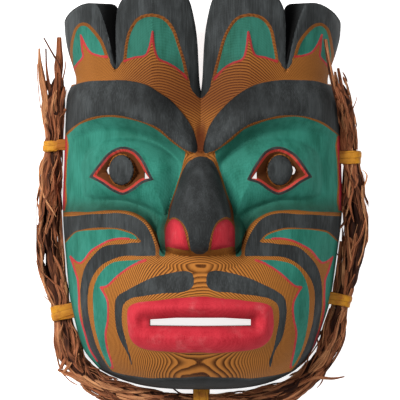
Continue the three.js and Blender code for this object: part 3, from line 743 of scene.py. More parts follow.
def outer_lobe(side):
    """What is kept of the block for an outer lobe: a prism that faces outwards, and whose outline is the one
    above when it is seen from the front."""
    corners = np.array(OUTER_LOBE, float)
    back = crown_front(LOBE_PIVOT) - crown_front(corners[:, 0])
    corners[:, 0] = (corners[:, 0] - LOBE_PIVOT) * math.cos(LOBE_TURN) + back * math.sin(LOBE_TURN)
    flat = outline(corners)
    flat = np.vstack([flat, [[flat[-1, 0], LOBE_FOOT], [flat[0, 0], LOBE_FOOT]]])
    lobe = prism(anticlockwise(flat if side > 0 else flat * [-1, 1]), CUT_BACK, -CUT_BACK)
    turn = Matrix.Rotation(side * LOBE_TURN, 3, "Y")
    lobe.verts = lobe.verts @ np.array(turn).T + [side * LOBE_PIVOT, 0, crown_front(LOBE_PIVOT)]
    return lobe


SLIT = [
    (42.5, -105), (20, -103.6), (-20, -103.6), (-42.5, -105.2), (-42.5, -110.5), (0, -110.8), (42.5, -110.5),
]


def carve(materials):
    """The whole mask as one object, cut in the order that the solid was."""
    painted, bare, black = materials
    carved = block().to_object("carved_mask", painted)
    for other in (bare, black):
        carved.data.materials.append(other)
    wide, top = 1.5 * WIDEST, CROWN_Y + BELOW_RIM
    corners = [(-wide, LOBES_CUT_Y), (wide, LOBES_CUT_Y), (wide, top), (-wide, top)]
    waste = prism(corners, CUT_BACK, CUT_FRONT).to_object("waste", black)
    half = outline(MIDDLE_LOBE[1:]).tolist()
    whole = anticlockwise([MIDDLE_LOBE[0]] + half + mirrored([MIDDLE_LOBE[0]] + half)[1:])
    cut(waste, prism(whole, 2 * CUT_BACK, 2 * CUT_FRONT).to_object("middle_lobes", black))
    cut(waste, outer_lobe(1).to_object("outer_lobe_right", black))
    cut(waste, outer_lobe(-1).to_object("outer_lobe_left", black))
    notch = outline(CENTRE_NOTCH).tolist()
    whole_notch = anticlockwise(notch + mirrored(notch)[:-1])
    cut(carved, hollow().to_object("hollow", bare))
    cut(carved, behind_crown().to_object("behind_crown", bare))
    cut(carved, waste)
    cut(carved, prism(whole_notch, CUT_BACK, CUT_FRONT).to_object("centre_notch", black))
    for side in (1, -1):
        for name, hole in (("outer", HOLE_OUT), ("inner", HOLE_IN)):
            points = hole if side > 0 else mirrored(hole)
            cut(carved, prism(anticlockwise(points), 0, CUT_FRONT).to_object(f"eye_hole_{name}", bare))
    cut(carved, prism(anticlockwise(SLIT), 0, CUT_FRONT).to_object("mouth_slit", bare))
    for tie in TIES.values():
        cut(carved, tie_slot(tie).to_object("tie_slot", bare))
    return carved


def finish_mesh(piece, angle):
    """Trims a piece to the solids' box, by the little that a smoother curve or a loose strip goes over it,
    and shades it smooth up to an angle between faces."""
    mesh = piece.data
    mesh.vertices.foreach_set("co", np.clip(points_of(mesh), cad_box[0], cad_box[1]).ravel())
    mesh.polygons.foreach_set("use_smooth", np.ones(len(mesh.polygons), bool))
    mesh.set_sharp_from_angle(angle=math.radians(angle))
    mesh.update()


# The bundle of cedar bark and its ties, along the same routes as the solids: x, y, z and radius

WREATH_ROUTE = [
    (-121, 132, 38, 3.2), (-121.5, 115, 28, 4.6), (-123.5, 98, 20, 5.4), (-128, 76, 15, 7.8),
    (-127.8, 60, 13.5, 7), (-127.5, 42, 13.5, 6.8), (-128, 33, 13.5, 7.4), (-130.3, 14, 13, 9.6),
    (-131.8, -8, 13, 10.5), (-132.6, -34, 13, 9.8), (-131, -56, 13, 10.6), (-126.8, -76, 13, 9),
    (-122.8, -91, 13.5, 7.6), (-120.8, -101, 13.5, 6.8), (-118.8, -115, 13.5, 7.9),
    (-116.8, -126, 13, 9.8), (-112, -141, 13, 10.4), (-102, -154, 13, 10.5), (-81, -168, 13, 9.8),
    (-60, -174.5, 12.5, 9.2), (-36, -177.5, 13, 8), (-1, -179.5, 13.5, 6.8), (32, -178, 13, 8.4),
    (56, -174.5, 12.5, 9.2), (75, -168, 13, 9), (87, -159, 13, 9), (96, -149, 13, 9),
    (104.8, -136, 13, 9.2), (110.8, -123, 13, 9.4), (114.6, -110, 13.5, 8), (118.6, -90.6, 13.5, 6.8),
    (122, -78, 13.5, 7.6), (125, -66, 13, 8.8), (128.2, -53, 13, 10), (130.6, -40, 13, 10.8),
    (131.8, -24, 13, 10.8), (130.2, -5, 13, 9), (129.8, 8, 13, 9), (128, 21, 13.5, 7.4),
    (127, 32, 13.5, 6.8), (126, 43, 14, 6.8), (125, 56, 18.5, 6.2), (123.2, 70, 27, 5.4),
    (121, 84, 37, 5.2), (117, 98, 47, 4.8), (112, 113, 58, 4), (104.5, 131, 70, 2.6),
]
# The part of it that is wound into one bundle, as distances along the route left out at its two ends
LOOSE_ENDS = (62, 62)


def unit(rows):
    return rows / np.linalg.norm(rows, axis=1)[:, None]


def across_line(points):
    """Two directions at right angles to a line and to each other, at each of its points."""
    ahead = unit(np.gradient(points, axis=0))
    side = unit(np.cross(ahead, [0, 0, 1]))
    return side, np.cross(side, ahead)


def turned(a, b, angle):
    """Two directions at right angles to each other, turned together."""
    c, s = np.cos(angle)[:, None], np.sin(angle)[:, None]
    return c * a + s * b, c * b - s * a


class Route:
    """A bundle's centre line, with its radius and two directions across it at any distance along it."""

    def __init__(self, stations):
        points = curve_through(stations, 10)
        self.centre, self.radius = points[:, :3], points[:, 3]
        steps = np.linalg.norm(np.diff(self.centre, axis=0), axis=1)
        self.at = np.concatenate([[0], np.cumsum(steps)])
        self.length = self.at[-1]
        self.side, self.top = across_line(self.centre)

    def sample(self, s):
        def pick(values):
            return np.stack([np.interp(s, self.at, column) for column in values.T], axis=-1)

        return pick(self.centre), np.interp(s, self.at, self.radius), pick(self.side), pick(self.top)


def kinked(count, every, size):
    """Random values that change along straight stretches, so that what follows them bends sharply."""
    knots = max(2, int(count / every) + 2)
    return np.interp(np.linspace(0, knots - 1, count), np.arange(knots), rng.normal(0, size, knots))


class Fibres:
    """Strips and threads that are collected for one mesh, each a closed solid of its own."""

    def __init__(self):
        self.verts, self.faces, self.along, self.across, self.tone, self.out = [], [], [], [], [], []

    def add(self, rings, along, across, tone, out):
        """Adds one strip from its rings of points. along has a value for each ring, across one for each
        point of a ring, and out one for each point of each ring."""
        first = sum(len(v) for v in self.verts)
        count, sides, _ = rings.shape
        at = first + np.arange(count * sides).reshape(count, sides)
        beside = np.roll(at, -1, axis=1)
        quads = np.stack([at[:-1], beside[:-1], beside[1:], at[1:]], axis=-1).reshape(-1, 4)
        self.faces += quads.tolist() + [at[0, ::-1].tolist(), at[-1].tolist()]
        self.verts.append(rings.reshape(-1, 3))
        self.along.append(np.repeat(along + rng.uniform(0, 1000), sides))
        self.across.append(np.tile(across, count))
        self.tone.append(np.full(count * sides, tone))
        self.out.append(out.ravel())

    def to_object(self, name, material):
        made = new_piece(name, (np.vstack(self.verts) + SHIFT) * MM, self.faces, material)
        given = {"along": self.along, "across": self.across, "tone": self.tone, "out": self.out}
        write_values(made, {key: np.concatenate(values) for key, values in given.items()})
        return made


# Kinds of bark in the bundle, from its middle out. share is how far out they lie, as a share of its radius,
# and winding about how much they turn round it for each millimetre, in radians
# The core's strips get a dark tone: painted shade deep in the bundle
CORE = {
    "count": 95, "long": (60, 150), "wide": (7, 11), "thick": 0.8, "fold": 0.2,
    "share": (0.4, 0.78), "winding": 0.005, "tone": (0, 0.15),
}
SHEET = {
    "count": 100, "long": (25, 65), "wide": (3.6, 8), "thick": 0.8, "fold": 0.5,
    "share": (0.72, 1.0), "winding": 0.014, "tone": (0.25, 0.95),
}
STICK = {
    "count": 280, "long": (20, 75), "wide": (1.3, 3.2), "thick": 1.2, "fold": 0.4,
    "share": (0.8, 1.15), "winding": 0.024, "tone": (0.05, 1),
}
THREADS = 170
RING_GAP = 2.8  # distance between the sections of a strip
TIE_REACH = (9, 18)  # strips lie close up to the first of these distances from a tie, free from the second
# Where the points of a section lie across a wide and a narrow strip, as shares of half its width
SHEET_PLACES = np.array([-1, -0.6, -0.15, 0.3, 0.65, 1])
STICK_PLACES = np.array([-1, -0.35, 0.35, 1])


def section(centre, wide, thick, half, depth, heights, places):
    """The rings of points of a folded strip: its upper side at the given heights, then its lower side."""
    rings = []
    for level, order in ((1, range(len(places))), (-1, range(len(places) - 1, -1, -1))):
        for k in order:
            edge = 1 - 0.55 * abs(places[k]) ** 3
            lift = heights[k] + level * depth * edge
            rings.append(centre + wide * (half * places[k])[:, None] + thick * lift[:, None])
    return np.stack(rings, axis=1)


def free_of_ties(centre):
    """0 where a tie holds the bundle together, 1 away from every tie."""
    gaps = [np.hypot(centre[:, 0] - tie["x"], centre[:, 1] - tie["y"]) for tie in TIES.values()]
    return ramp(*TIE_REACH, np.minimum.reduce(gaps))


def wound_strip(fibres, route, kind, start, length, tone):
    """One folded strip of bark that winds slowly round the bundle, with kinks. Its ends may stand off it."""
    low = LOOSE_ENDS[0] - rng.uniform(0, 25)
    high = route.length - LOOSE_ENDS[1] + rng.uniform(0, 25)
    s = np.arange(max(start, low), min(start + length, high), RING_GAP)
    if len(s) < 5:
        return
    count = len(s)
    centre, radius, side, top = route.sample(s)
    free = free_of_ties(centre)
    from_start, from_end = s - s[0], s[-1] - s
    turn = rng.uniform(0, 2 * math.pi) + from_start * rng.normal(0, kind["winding"]) + kinked(count, 5, 0.14)
    outwards, around = turned(side, top, turn)
    wide, thick = turned(around, outwards, kinked(count, 7, 0.45) * free)
    flare = rng.exponential(2, 2) * (rng.uniform(0, 1, 2) < 0.3)
    stray = flare[0] * fall(0, 16, from_start) + flare[1] * fall(0, 16, from_end)
    share = rng.uniform(*kind["share"]) + kinked(count, 8, 0.1) * free
    reach = (radius * np.minimum(share, 1.22) + stray * free)[:, None]
    sway = (kinked(count, 9, 0.6) * free)[:, None]
    torn = np.minimum(1, 0.3 + np.minimum(from_start, from_end) / rng.uniform(4, 14))
    held = 0.75 + 0.25 * free
    half = 0.5 * rng.uniform(*kind["wide"]) * torn * held * (1 + kinked(count, 5, 0.14))
    places = SHEET_PLACES if half.max() > 2.4 else STICK_PLACES
    heights = []
    for a in places:
        bow = -a * a * half * half / (2.4 * radius)
        fold = rng.normal(0, kind["fold"]) + kinked(count, 8, 0.06)
        heights.append(bow + half * fold * (1 - 0.4 * abs(a)))
    depth = kind["thick"] * rng.uniform(0.6, 1.2) * np.minimum(1, torn + 0.2)
    middle = centre + outwards * reach + around * sway
    rings = section(middle, wide, thick, half, depth / 2, heights, places)
    across = np.concatenate([places, places[::-1]]) * half.max()
    # How far out each point lies, which the bark's material turns into painted shade deeper in the bundle
    out = np.linalg.norm(rings - centre[:, None], axis=2) / radius[:, None]
    fibres.add(rings, from_start, across, tone, out)


def loose_thread(fibres, route, start, length, strays):
    """A thin fibre that has come loose from the bundle and stands a little away from it."""
    s = np.arange(max(start, LOOSE_ENDS[0]), min(start + length, route.length - LOOSE_ENDS[1]), RING_GAP)
    if len(s) < 6:
        return
    share = np.linspace(0, 1, len(s))
    centre, radius, side, top = route.sample(s)
    turn = rng.uniform(0, 2 * math.pi) + share * rng.normal(0, 1.1) + kinked(len(s), 5, 0.12)
    outwards, around = turned(side, top, turn)
    away = radius * (0.95 + kinked(len(s), 4, 0.05)) + strays * share**2 * free_of_ties(centre)
    middle = centre + outwards * away[:, None]
    thin = (rng.uniform(0.2, 0.4) * (1 - 0.6 * share))[:, None]
    corners = [0, 2 * math.pi / 3, 4 * math.pi / 3]
    rings = [middle + thin * (math.cos(c) * outwards + math.sin(c) * around) for c in corners]
    fibres.add(np.stack(rings, axis=1), s - start, np.zeros(3), rng.uniform(0.3, 1), np.ones((len(s), 3)))


# The stiff pieces that stand apart at the bundle's two upper ends and its lower corners, and the dark ones
# that lie against the mask as a painted shadow between the two. Each has its points with its width there, as
# (x, y, z, width), then how much it is folded and how light it is
STICKS = [
    ([(-127, 50, 13, 8), (-125, 72, 17, 7), (-123.3, 90, 22, 6.6), (-122, 110, 29, 7.6),
      (-121.3, 134, 38, 4.4)], 0.5, 0.5),
    ([(-124, 52, 15, 4), (-121, 76, 20, 3.6), (-118.5, 88, 25, 3), (-117.6, 92, 27, 1.4)], 0.3, 0.25),
    ([(-128, 46, 14, 5), (-127.4, 70, 19, 4.6), (-125.4, 90, 24, 3.6), (-124.6, 104, 27, 1.6)], 0.4, 0.3),
    ([(-127, 56, 14, 6), (-131.4, 66, 16, 7.4), (-133.6, 78, 18, 7.6), (-136.2, 96, 20, 6.6),
      (-138.6, 111, 23, 4.4), (-139.4, 125, 26, 1.6)], 0.45, 0.85),
    ([(-128, 58, 11, 4), (-129.4, 72, 13, 3.6), (-131.2, 90, 17, 3), (-133, 106, 21, 2.4),
      (-133.8, 125, 25, 1.4)], 0.3, 0.2),
    ([(-138.8, 74, 15, 0.7), (-140.6, 90, 16, 0.9), (-141.6, 112, 20, 0.7)], 0.1, 0.7),
    ([(-119.6, 92, 30, 1.6), (-121.4, 109, 36, 1.8), (-127, 119.5, 36, 1.7),
      (-135.1, 134, 35, 1.2)], 0.2, 0.1),
    ([(-119.8, 96, 27, 1.4), (-117.6, 104, 31, 1.3), (-116, 114, 34, 0.9)], 0.2, 0.3),
    ([(126, 40, 14, 5), (124.6, 56, 19, 4.4), (122.4, 72, 27, 3.8), (119.6, 88, 37, 3),
      (116, 107, 50, 2.2)], 0.4, 0.35),
    ([(125, 42, 16, 6), (121.6, 58, 22, 5.6), (118.4, 76, 32, 4.6), (115.6, 92, 43, 3.6),
      (113.6, 104, 51, 2)], 0.45, 0.85),
    ([(122.4, 50, 18, 2.8), (118, 72, 31, 2.6), (113, 92.5, 48, 2.8), (108.6, 112, 61, 2.8),
      (105.8, 131, 70, 2.4)], 0.3, 0.7),
    ([(120.4, 54, 19, 2.2), (115.6, 76, 35, 2), (110.8, 94, 50, 1.8), (107, 114, 62, 1.8),
      (104.2, 131.5, 69.5, 1.2)], 0.3, 0.1),
    ([(127.4, 40, 13, 4), (126.6, 54, 16, 3.8), (124, 68, 24, 3), (121.4, 78, 30, 1.6)], 0.4, 0.6),
    ([(127.6, 38, 12, 3.4), (128.8, 50, 15, 2.8), (129.6, 58, 17, 2.6), (129.3, 66, 19, 1.8)], 0.5, 0.6),
    ([(128.6, 44, 14, 1.6), (130.6, 54, 17, 1.4), (132.4, 60.5, 19, 0.9)], 0.3, 0.4),
    ([(-110, -130, 20, 3), (-117, -141, 20, 4), (-123, -151.5, 17, 2.4)], 0.4, 0.55),
    ([(-106, -136, 21, 3), (-113, -145, 21, 3.4), (-119.5, -153.5, 18, 1.8)], 0.4, 0.8),
    ([(-124, -150.5, 16, 2), (-113, -154, 20, 4.4), (-100, -160, 22, 5.4), (-84, -166, 21, 3)], 0.4, 0.7),
    ([(-102, -156, 22, 3.6), (-86, -164, 23, 7), (-68, -169, 21, 3.6)], 0.35, 0.95),
    ([(-74, -172, 22, 4), (-56, -176, 22.5, 6.4), (-36, -179, 19, 4)], 0.35, 0.9),
    ([(110, -128, 21, 3), (102, -142, 23, 6.4), (92, -153, 21, 3.6)], 0.4, 0.9),
    ([(80, -164, 22, 2.6), (96, -157, 21, 3), (112, -157.5, 18, 2), (122, -156, 17, 1.2)], 0.3, 0.6),
    # Dark strips against the mask: painted shadow between the bundle and the mask
    ([(-121.4, 44, 14, 4.6), (-121, 62, 15, 5), (-120, 82, 17, 5), (-119.6, 98, 20, 2.4)], 0.3, 0.15),
    ([(-122.6, 14, 13, 2), (-123, -10, 14, 4), (-122, -34, 14, 5), (-120.6, -58, 14, 5),
      (-117.4, -82, 14, 3)], 0.3, 0.2),
    ([(119, -40, 14, 3), (117.4, -58, 14, 4.5), (115, -72, 14, 4.5), (112.6, -84, 13, 2.5)], 0.3, 0.25),
    ([(110.5, -98, 14, 3), (107.6, -108, 14, 4.5), (104.4, -118, 14, 4.5),
      (99.8, -130, 15, 3)], 0.3, 0.2),
]


def stiff_stick(fibres, stations, fold, tone):
    """One of the pieces above: a folded strip that follows its own line."""
    line = curve_through(stations, 9)
    centre, half = line[:, :3], line[:, 3] / 2
    count = len(line)
    flat, up = across_line(centre)
    wide, thick = turned(flat, up, rng.normal(0, 0.25) + kinked(count, 9, 0.12))
    centre = centre + wide * (kinked(count, 6, 0.09) * half)[:, None]
    half = half * (1 + kinked(count, 5, 0.07))
    places = SHEET_PLACES if half.max() > 2 else STICK_PLACES
    heights = []
    for a in places:
        heights.append(half * (rng.normal(0, fold) * (1 - 0.3 * abs(a)) + kinked(count, 9, 0.05)))
    depth = np.minimum(0.5, 0.7 * half)
    rings = section(centre, wide, thick, half, depth, heights, places)
    gone = np.linalg.norm(np.diff(centre, axis=0), axis=1)
    across = np.concatenate([places, places[::-1]]) * half.max()
    along = np.concatenate([[0], np.cumsum(gone)])
    fibres.add(rings, along, across, tone, np.ones(rings.shape[:2]))


def bark_bundle(material):
    fibres = Fibres()
    route = Route(WREATH_ROUTE)
    for kind in (CORE, SHEET, STICK):
        for i in range(kind["count"]):
            length = rng.uniform(*kind["long"])
            start = (i + rng.uniform()) / kind["count"] * (route.length + length) - length
            wound_strip(fibres, route, kind, start, length, rng.uniform(*kind["tone"]))
    for i in range(THREADS):
        start = (i + rng.uniform()) / THREADS * route.length
        loose_thread(fibres, route, start, rng.uniform(15, 45), min(rng.exponential(2), 6))
    for stations, fold, tone in STICKS:
        stiff_stick(fibres, stations, fold, tone)
    return fibres.to_object("bark_bundle", material)


# The ties: where each goes round the bundle, which way it faces, in degrees, and its width. The brown pair
# is where its leather turns to a painted shade, brown, towards the mask, as distances outwards from its
# middle, and step is how far the strap steps sideways there, as a share of its width
TIES = {
    "tie_upper_left": {"x": -127.5, "y": 42, "faces": 180, "width": 10, "shaded_brown": (-3, -1.4), "step": 0.07},
    "tie_lower_left": {"x": -120.8, "y": -101, "faces": 192, "width": 14, "shaded_brown": (-18, 9), "step": 0},
    "tie_chin": {"x": -1, "y": -179.5, "faces": -90, "width": 14, "shaded_brown": (-50, -16), "step": 0},
    "tie_lower_right": {"x": 118.6, "y": -90.6, "faces": -13, "width": 11, "shaded_brown": (-18, 3), "step": 0.03},
    "tie_upper_right": {"x": 127, "y": 32, "faces": 0, "width": 12, "shaded_brown": (-18, 3), "step": -0.03},
}
TIE_LEATHER = 1.6  # thickness of all its turns together
TIE_INSIDE = {"out": 8, "in": 25.5, "low": 4.6, "high": 22}  # the space that a tie goes round
TIE_CORNER = 5
TIE_CLEARANCE = 0.4


def tie_path(grow, count):
    """Points of the rounded rectangle that a tie follows, as (outwards, height), grown on all sides."""
    r = TIE_CORNER + grow
    out, inwards = TIE_INSIDE["out"] + grow - r, -TIE_INSIDE["in"] - grow + r
    low, high = TIE_INSIDE["low"] - grow + r, TIE_INSIDE["high"] + grow - r
    points = []
    for x, z, first in ((out, low, -90), (out, high, 0), (inwards, high, 90), (inwards, low, 180)):
        for angle in np.radians(np.linspace(first, first + 90, 9)):
            points.append((x + r * math.cos(angle), z + r * math.sin(angle)))
    closed = np.array(points + points[:1])
    at = np.concatenate([[0], np.cumsum(np.linalg.norm(np.diff(closed, axis=0), axis=1))])
    even = np.linspace(0, at[-1], count, endpoint=False)
    return np.stack([np.interp(even, at, closed[:, 0]), np.interp(even, at, closed[:, 1])], axis=-1)


def placed_tie(tie, across, path):
    """Puts points of a tie's path, so far across its band, in their place on the mask."""
    angle = math.radians(tie["faces"])
    out = path[..., 0]
    x = tie["x"] + out * math.cos(angle) - across * math.sin(angle)
    y = tie["y"] + out * math.sin(angle) + across * math.cos(angle)
    return np.stack([x, y, np.broadcast_to(path[..., 1], x.shape)], axis=-1)


def closed_ring(rings):
    """The faces of a ring from its sections, which run all the way round it."""
    count, sides, _ = rings.shape
    at = np.arange(count * sides).reshape(count, sides)
    there = np.roll(at, -1, axis=0)
    quads = np.stack([at, np.roll(at, -1, axis=1), np.roll(there, -1, axis=1), there], axis=-1)
    return Solid(rings.reshape(-1, 3), quads.reshape(-1, 4).tolist())


def tie_slot(tie):
    """What is cut from the mask to let a tie through."""
    half = tie["width"] / 2 + TIE_CLEARANCE
    inner = tie_path(-TIE_CLEARANCE, 64)
    outer = tie_path(TIE_LEATHER + TIE_CLEARANCE, 64)
    corners = [(half, outer), (half, inner), (-half, inner), (-half, outer)]
    return closed_ring(np.stack([placed_tie(tie, across, path) for across, path in corners], axis=1))


# The turns of a tie, the inner one first: how far to one side each lies, how far it slants and half its
# width, as shares of the tie's width, and how high it lies
WRAPS = [
    {"side": -0.24, "slant": 0.03, "half": 0.25, "level": 0.5},
    {"side": 0.24, "slant": -0.03, "half": 0.25, "level": 0.62},
    {"side": 0.02, "slant": 0.17, "half": 0.21, "level": 1.1},
]


def leather_wrap(tie, wrap, count=120, sides=14):
    """One turn of a tie, a soft strap with rounded edges, with how near each of its points is to an edge,
    where shade is painted, and how much painted shade, brown, it gets towards the mask."""
    angle = np.linspace(0, 2 * math.pi, count, endpoint=False)
    phase = rng.uniform(0, 2 * math.pi, 2)
    inner, outer = tie_path(0, count), tie_path(TIE_LEATHER, count)
    bright = ramp(*tie["shaded_brown"], outer[:, 0])
    step = tie["step"] * (2 * bright - 1)
    side = wrap["side"] + wrap["slant"] * np.sin(angle + 0.4) + 0.012 * np.sin(5 * angle + phase[0]) + step
    half = wrap["half"] + 0.014 * np.sin(4 * angle + phase[1])
    rings, edges = [], []
    for turn in np.linspace(0, 2 * math.pi, sides, endpoint=False):
        c, s = math.cos(turn), math.sin(turn)
        across = tie["width"] * (side + half * np.sign(c) * abs(c) ** 0.5)
        lift = wrap["level"] + 0.4 * np.sign(s) * abs(s) ** 0.7 + 0.06 * np.sin(7 * angle + 3 * c)
        share = (lift / TIE_LEATHER)[:, None]
        rings.append(placed_tie(tie, across, inner + (outer - inner) * share))
        edges.append(np.full(count, abs(c)))
    made = closed_ring(np.stack(rings, axis=1)[:, ::-1])
    return made, np.stack(edges, axis=1)[:, ::-1].ravel(), np.repeat(1 - bright, sides)


def leather_tie(name, tie, material):
    verts, faces, edges, shaded_browns = [], [], [], []
    for wrap in WRAPS:
        turn, edge, shaded_brown = leather_wrap(tie, wrap)
        first = sum(len(v) for v in verts)
        verts.append(turn.verts)
        faces += [[first + i for i in face] for face in turn.faces]
        edges.append(edge)
        shaded_browns.append(shaded_brown)
    made = Solid(np.vstack(verts), faces).to_object(f"leather_{name}", material)
    write_values(made, {"edge": np.concatenate(edges), "shaded_brown": np.concatenate(shaded_browns)})
    return made


# Materials

LIGHT_LEVEL = 1.6  # how many times its own colour a matt surface that faces up shows


def srgb(r, g, b):
    """The colour of a surface that shows the given 0 to 255 values on screen when it faces up."""
    def linear(v):
        v /= 255
        return (v / 12.92 if v <= 0.04045 else ((v + 0.055) / 1.055) ** 2.4) / LIGHT_LEVEL

    return (linear(r), linear(g), linear(b), 1)


EARLY_WOOD = srgb(194, 124, 56)
LATE_WOOD = srgb(56, 22, 11)
OLD_WOOD = srgb(158, 104, 62)
# Painted shade in the eye's recess
RECESS_SHADE = srgb(96, 54, 32)
# Darker colours mixed in where the thing is darker and where shade is painted
WOOD_GRIME_AND_SHADE = srgb(74, 26, 18)
GREEN_GRIME_AND_SHADE = srgb(40, 44, 30)
RED_GRIME_AND_SHADE = srgb(96, 16, 22)
BLACK_GRIME_AND_SHADE = srgb(20, 20, 20)
GREEN_PAINT = srgb(60, 140, 122)
GREEN_SHADE = srgb(30, 98, 80)
BLACK_PAINT = srgb(46, 48, 48)
BLACK_WORN = srgb(82, 86, 87)
RED_PAINT = srgb(212, 58, 70)
RED_SHADE = srgb(166, 30, 42)
RED_WORN = srgb(220, 110, 112)
# Dark bark, and the painted shade deep in the bundle
BARK_DARK = srgb(48, 24, 16)
BARK_MID = srgb(176, 106, 70)
BARK_LIGHT = srgb(228, 162, 112)
LEATHER_GOLD = srgb(218, 150, 34)
# Worn patches of the leather, and the painted shade towards the mask
LEATHER_WORN_AND_SHADED = srgb(166, 96, 22)
# Painted shade along the edges of each turn of a tie
LEATHER_EDGE_SHADE = srgb(104, 58, 18)
FLOOR_WHITE = (0.8, 0.8, 0.8, 1)


class Value:
    """What a node gives out, so that a material can reckon with it as with a number."""

    def __init__(self, shader, socket):
        self.shader = shader
        self.socket = socket

    def __add__(self, other):
        return self.shader.math("ADD", self, other)

    def __sub__(self, other):
        return self.shader.math("SUBTRACT", self, other)

    def __rsub__(self, other):
        return self.shader.math("SUBTRACT", other, self)

    def __mul__(self, other):
        return self.shader.math("MULTIPLY", self, other)

    def __truediv__(self, other):
        return self.shader.math("DIVIDE", self, other)


class Shader:
    """The node graph of one material."""

    def __init__(self, name, roughness, specular=0.25):
        self.material = bpy.data.materials.new(name)
        self.material.use_nodes = True
        self.tree = self.material.node_tree
        self.tree.nodes.clear()
        self.surface = self.tree.nodes.new("ShaderNodeBsdfPrincipled")
        self.surface.inputs["Roughness"].default_value = roughness
        self.surface.inputs["Specular IOR Level"].default_value = specular
        output = self.tree.nodes.new("ShaderNodeOutputMaterial")
        self.tree.links.new(self.surface.outputs["BSDF"], output.inputs["Surface"])

    def node(self, kind, **settings):
        made = self.tree.nodes.new("ShaderNode" + kind)
        for key, value in settings.items():
            setattr(made, key, value)
        return made

    def give(self, socket, value):
        if isinstance(value, Value):
            self.tree.links.new(value.socket, socket)
        else:
            socket.default_value = value

    def math(self, operation, *values):
        made = self.node("Math", operation=operation)
        for socket, value in zip(made.inputs, values):
            self.give(socket, value)
        return Value(self, made.outputs[0])

    def largest(self, value, *others):
        for other in others:
            value = self.math("MAXIMUM", value, other)
        return value

    def range(self, value, low, high, to_low=0.0, to_high=1.0, smooth=True):
        made = self.node("MapRange", interpolation_type="SMOOTHSTEP" if smooth else "LINEAR")
        given = {"Value": value, "From Min": low, "From Max": high, "To Min": to_low, "To Max": to_high}
        for key, setting in given.items():
            self.give(made.inputs[key], setting)
        return Value(self, made.outputs["Result"])

    def mix(self, share, a, b):
        made = self.node("Mix", data_type="RGBA")
        self.give(made.inputs["Factor"], share)
        self.give(made.inputs[6], a)
        self.give(made.inputs[7], b)
        return Value(self, made.outputs[2])

    def attribute(self, name):
        return Value(self, self.node("Attribute", attribute_name=name).outputs["Fac"])

    def place(self, stretch=(1, 1, 1)):
        """Where a point is, in millimetres, with each direction scaled."""
        scaled = self.node("VectorMath", operation="MULTIPLY")
        self.tree.links.new(self.node("TexCoord").outputs["Object"], scaled.inputs[0])
        scaled.inputs[1].default_value = [s / MM for s in stretch]
        return Value(self, scaled.outputs[0])

    def split(self, vector):
        made = self.node("SeparateXYZ")
        self.give(made.inputs[0], vector)
        return [Value(self, socket) for socket in made.outputs]

    def combine(self, x, y, z):
        made = self.node("CombineXYZ")
        for socket, value in zip(made.inputs, (x, y, z)):
            self.give(socket, value)
        return Value(self, made.outputs[0])

    def noise(self, vector, detail=3.0, roughness=0.55):
        made = self.node("TexNoise")
        self.give(made.inputs["Vector"], vector)
        made.inputs["Scale"].default_value = 1
        made.inputs["Detail"].default_value = detail
        made.inputs["Roughness"].default_value = roughness
        return Value(self, made.outputs["Fac"])

    def bump(self, height, distance, strength):
        made = self.node("Bump")
        self.give(made.inputs["Height"], height)
        made.inputs["Distance"].default_value = distance * MM
        made.inputs["Strength"].default_value = strength
        self.tree.links.new(made.outputs["Normal"], self.surface.inputs["Normal"])

    def colour(self, value):
        self.give(self.surface.inputs["Base Color"], value)


PITH_FRONT = 285  # how far in front of the rim the middle of the tree lay
RING_WIDTH = 1.28
GRAIN_TILT = 0.55
GRAIN_LEVEL = (-97, -59)  # heights between which the grain runs almost level with the rim
GRAIN_LEVELLED = 0.85  # how much of its tilt it loses there
GRAIN_BENDS = -136  # height below which it bends more and more
GRAIN_BEND = 0.055
PAINT_SOFT = 0.13  # half the width over which a painted edge fades


def growth_rings(g):
    """Share of dark late wood: rings round an axis that runs up and down in front of the face."""
    x, y, z = g.split(g.place())
    y = y - float(SHIFT[1])
    deep = PITH_FRONT - z
    radius = g.math("SQRT", x * x + deep * deep)
    low, high = GRAIN_LEVEL
    level = g.range(y, low, high, 0.0, -GRAIN_LEVELLED * (high - low), smooth=False)
    below = g.largest(GRAIN_BENDS - y, 0)
    height = y + level - below * below * GRAIN_BEND
    slow = g.noise(g.place((0.012, 0.006, 0.012)), detail=2.0) * 9
    quick = g.noise(g.place((0.06, 0.02, 0.06)), detail=2.0) * 1.2
    share = g.math("FRACT", (radius + slow + (quick + height * GRAIN_TILT)) / RING_WIDTH)
    return g.range(share, 0.15, 0.85) * g.range(share, 0.88, 1.0, 1.0, 0.0)


def fibre_streaks(g):
    return g.noise(g.place((1.6, 0.05, 1.6)), detail=3.0, roughness=0.6)


def wood_colour(g, rings, fibres, early=EARLY_WOOD, late=LATE_WOOD):
    patch = g.noise(g.place((0.02, 0.012, 0.02)), detail=2.0)
    plain = g.mix(rings * g.range(patch, 0.3, 0.7, 0.75, 1.0), early, late)
    darker = g.mix(0.35, early, late)
    return g.mix(g.range(fibres, 0.45, 0.75, 0.0, 0.5), plain, darker)


# Mixes in a darker colour where the thing is darker and where shade is painted
def soiled_and_shaded(g, colour, dirt_and_shade):
    return g.mix(g.attribute("grime_and_shade"), colour, dirt_and_shade)


def front_wood(g, rings, fibres):
    """The bare wood of the front. In the narrow lines between painted shapes its rings are less marked."""
    lined = g.attribute("lined")
    evened = rings * g.range(lined, 1.2, 2.4, 0.4, 1.0) + g.range(lined, 1.2, 2.4, 0.5, 0.0)
    return soiled_and_shaded(g, wood_colour(g, evened, fibres), WOOD_GRIME_AND_SHADE)


def green_paint(g, brush, grain):
    green = g.mix(g.range(brush, 0.35, 0.7, 0.0, 0.55) + grain, GREEN_PAINT, GREEN_SHADE)
    return soiled_and_shaded(g, green, GREEN_GRIME_AND_SHADE)


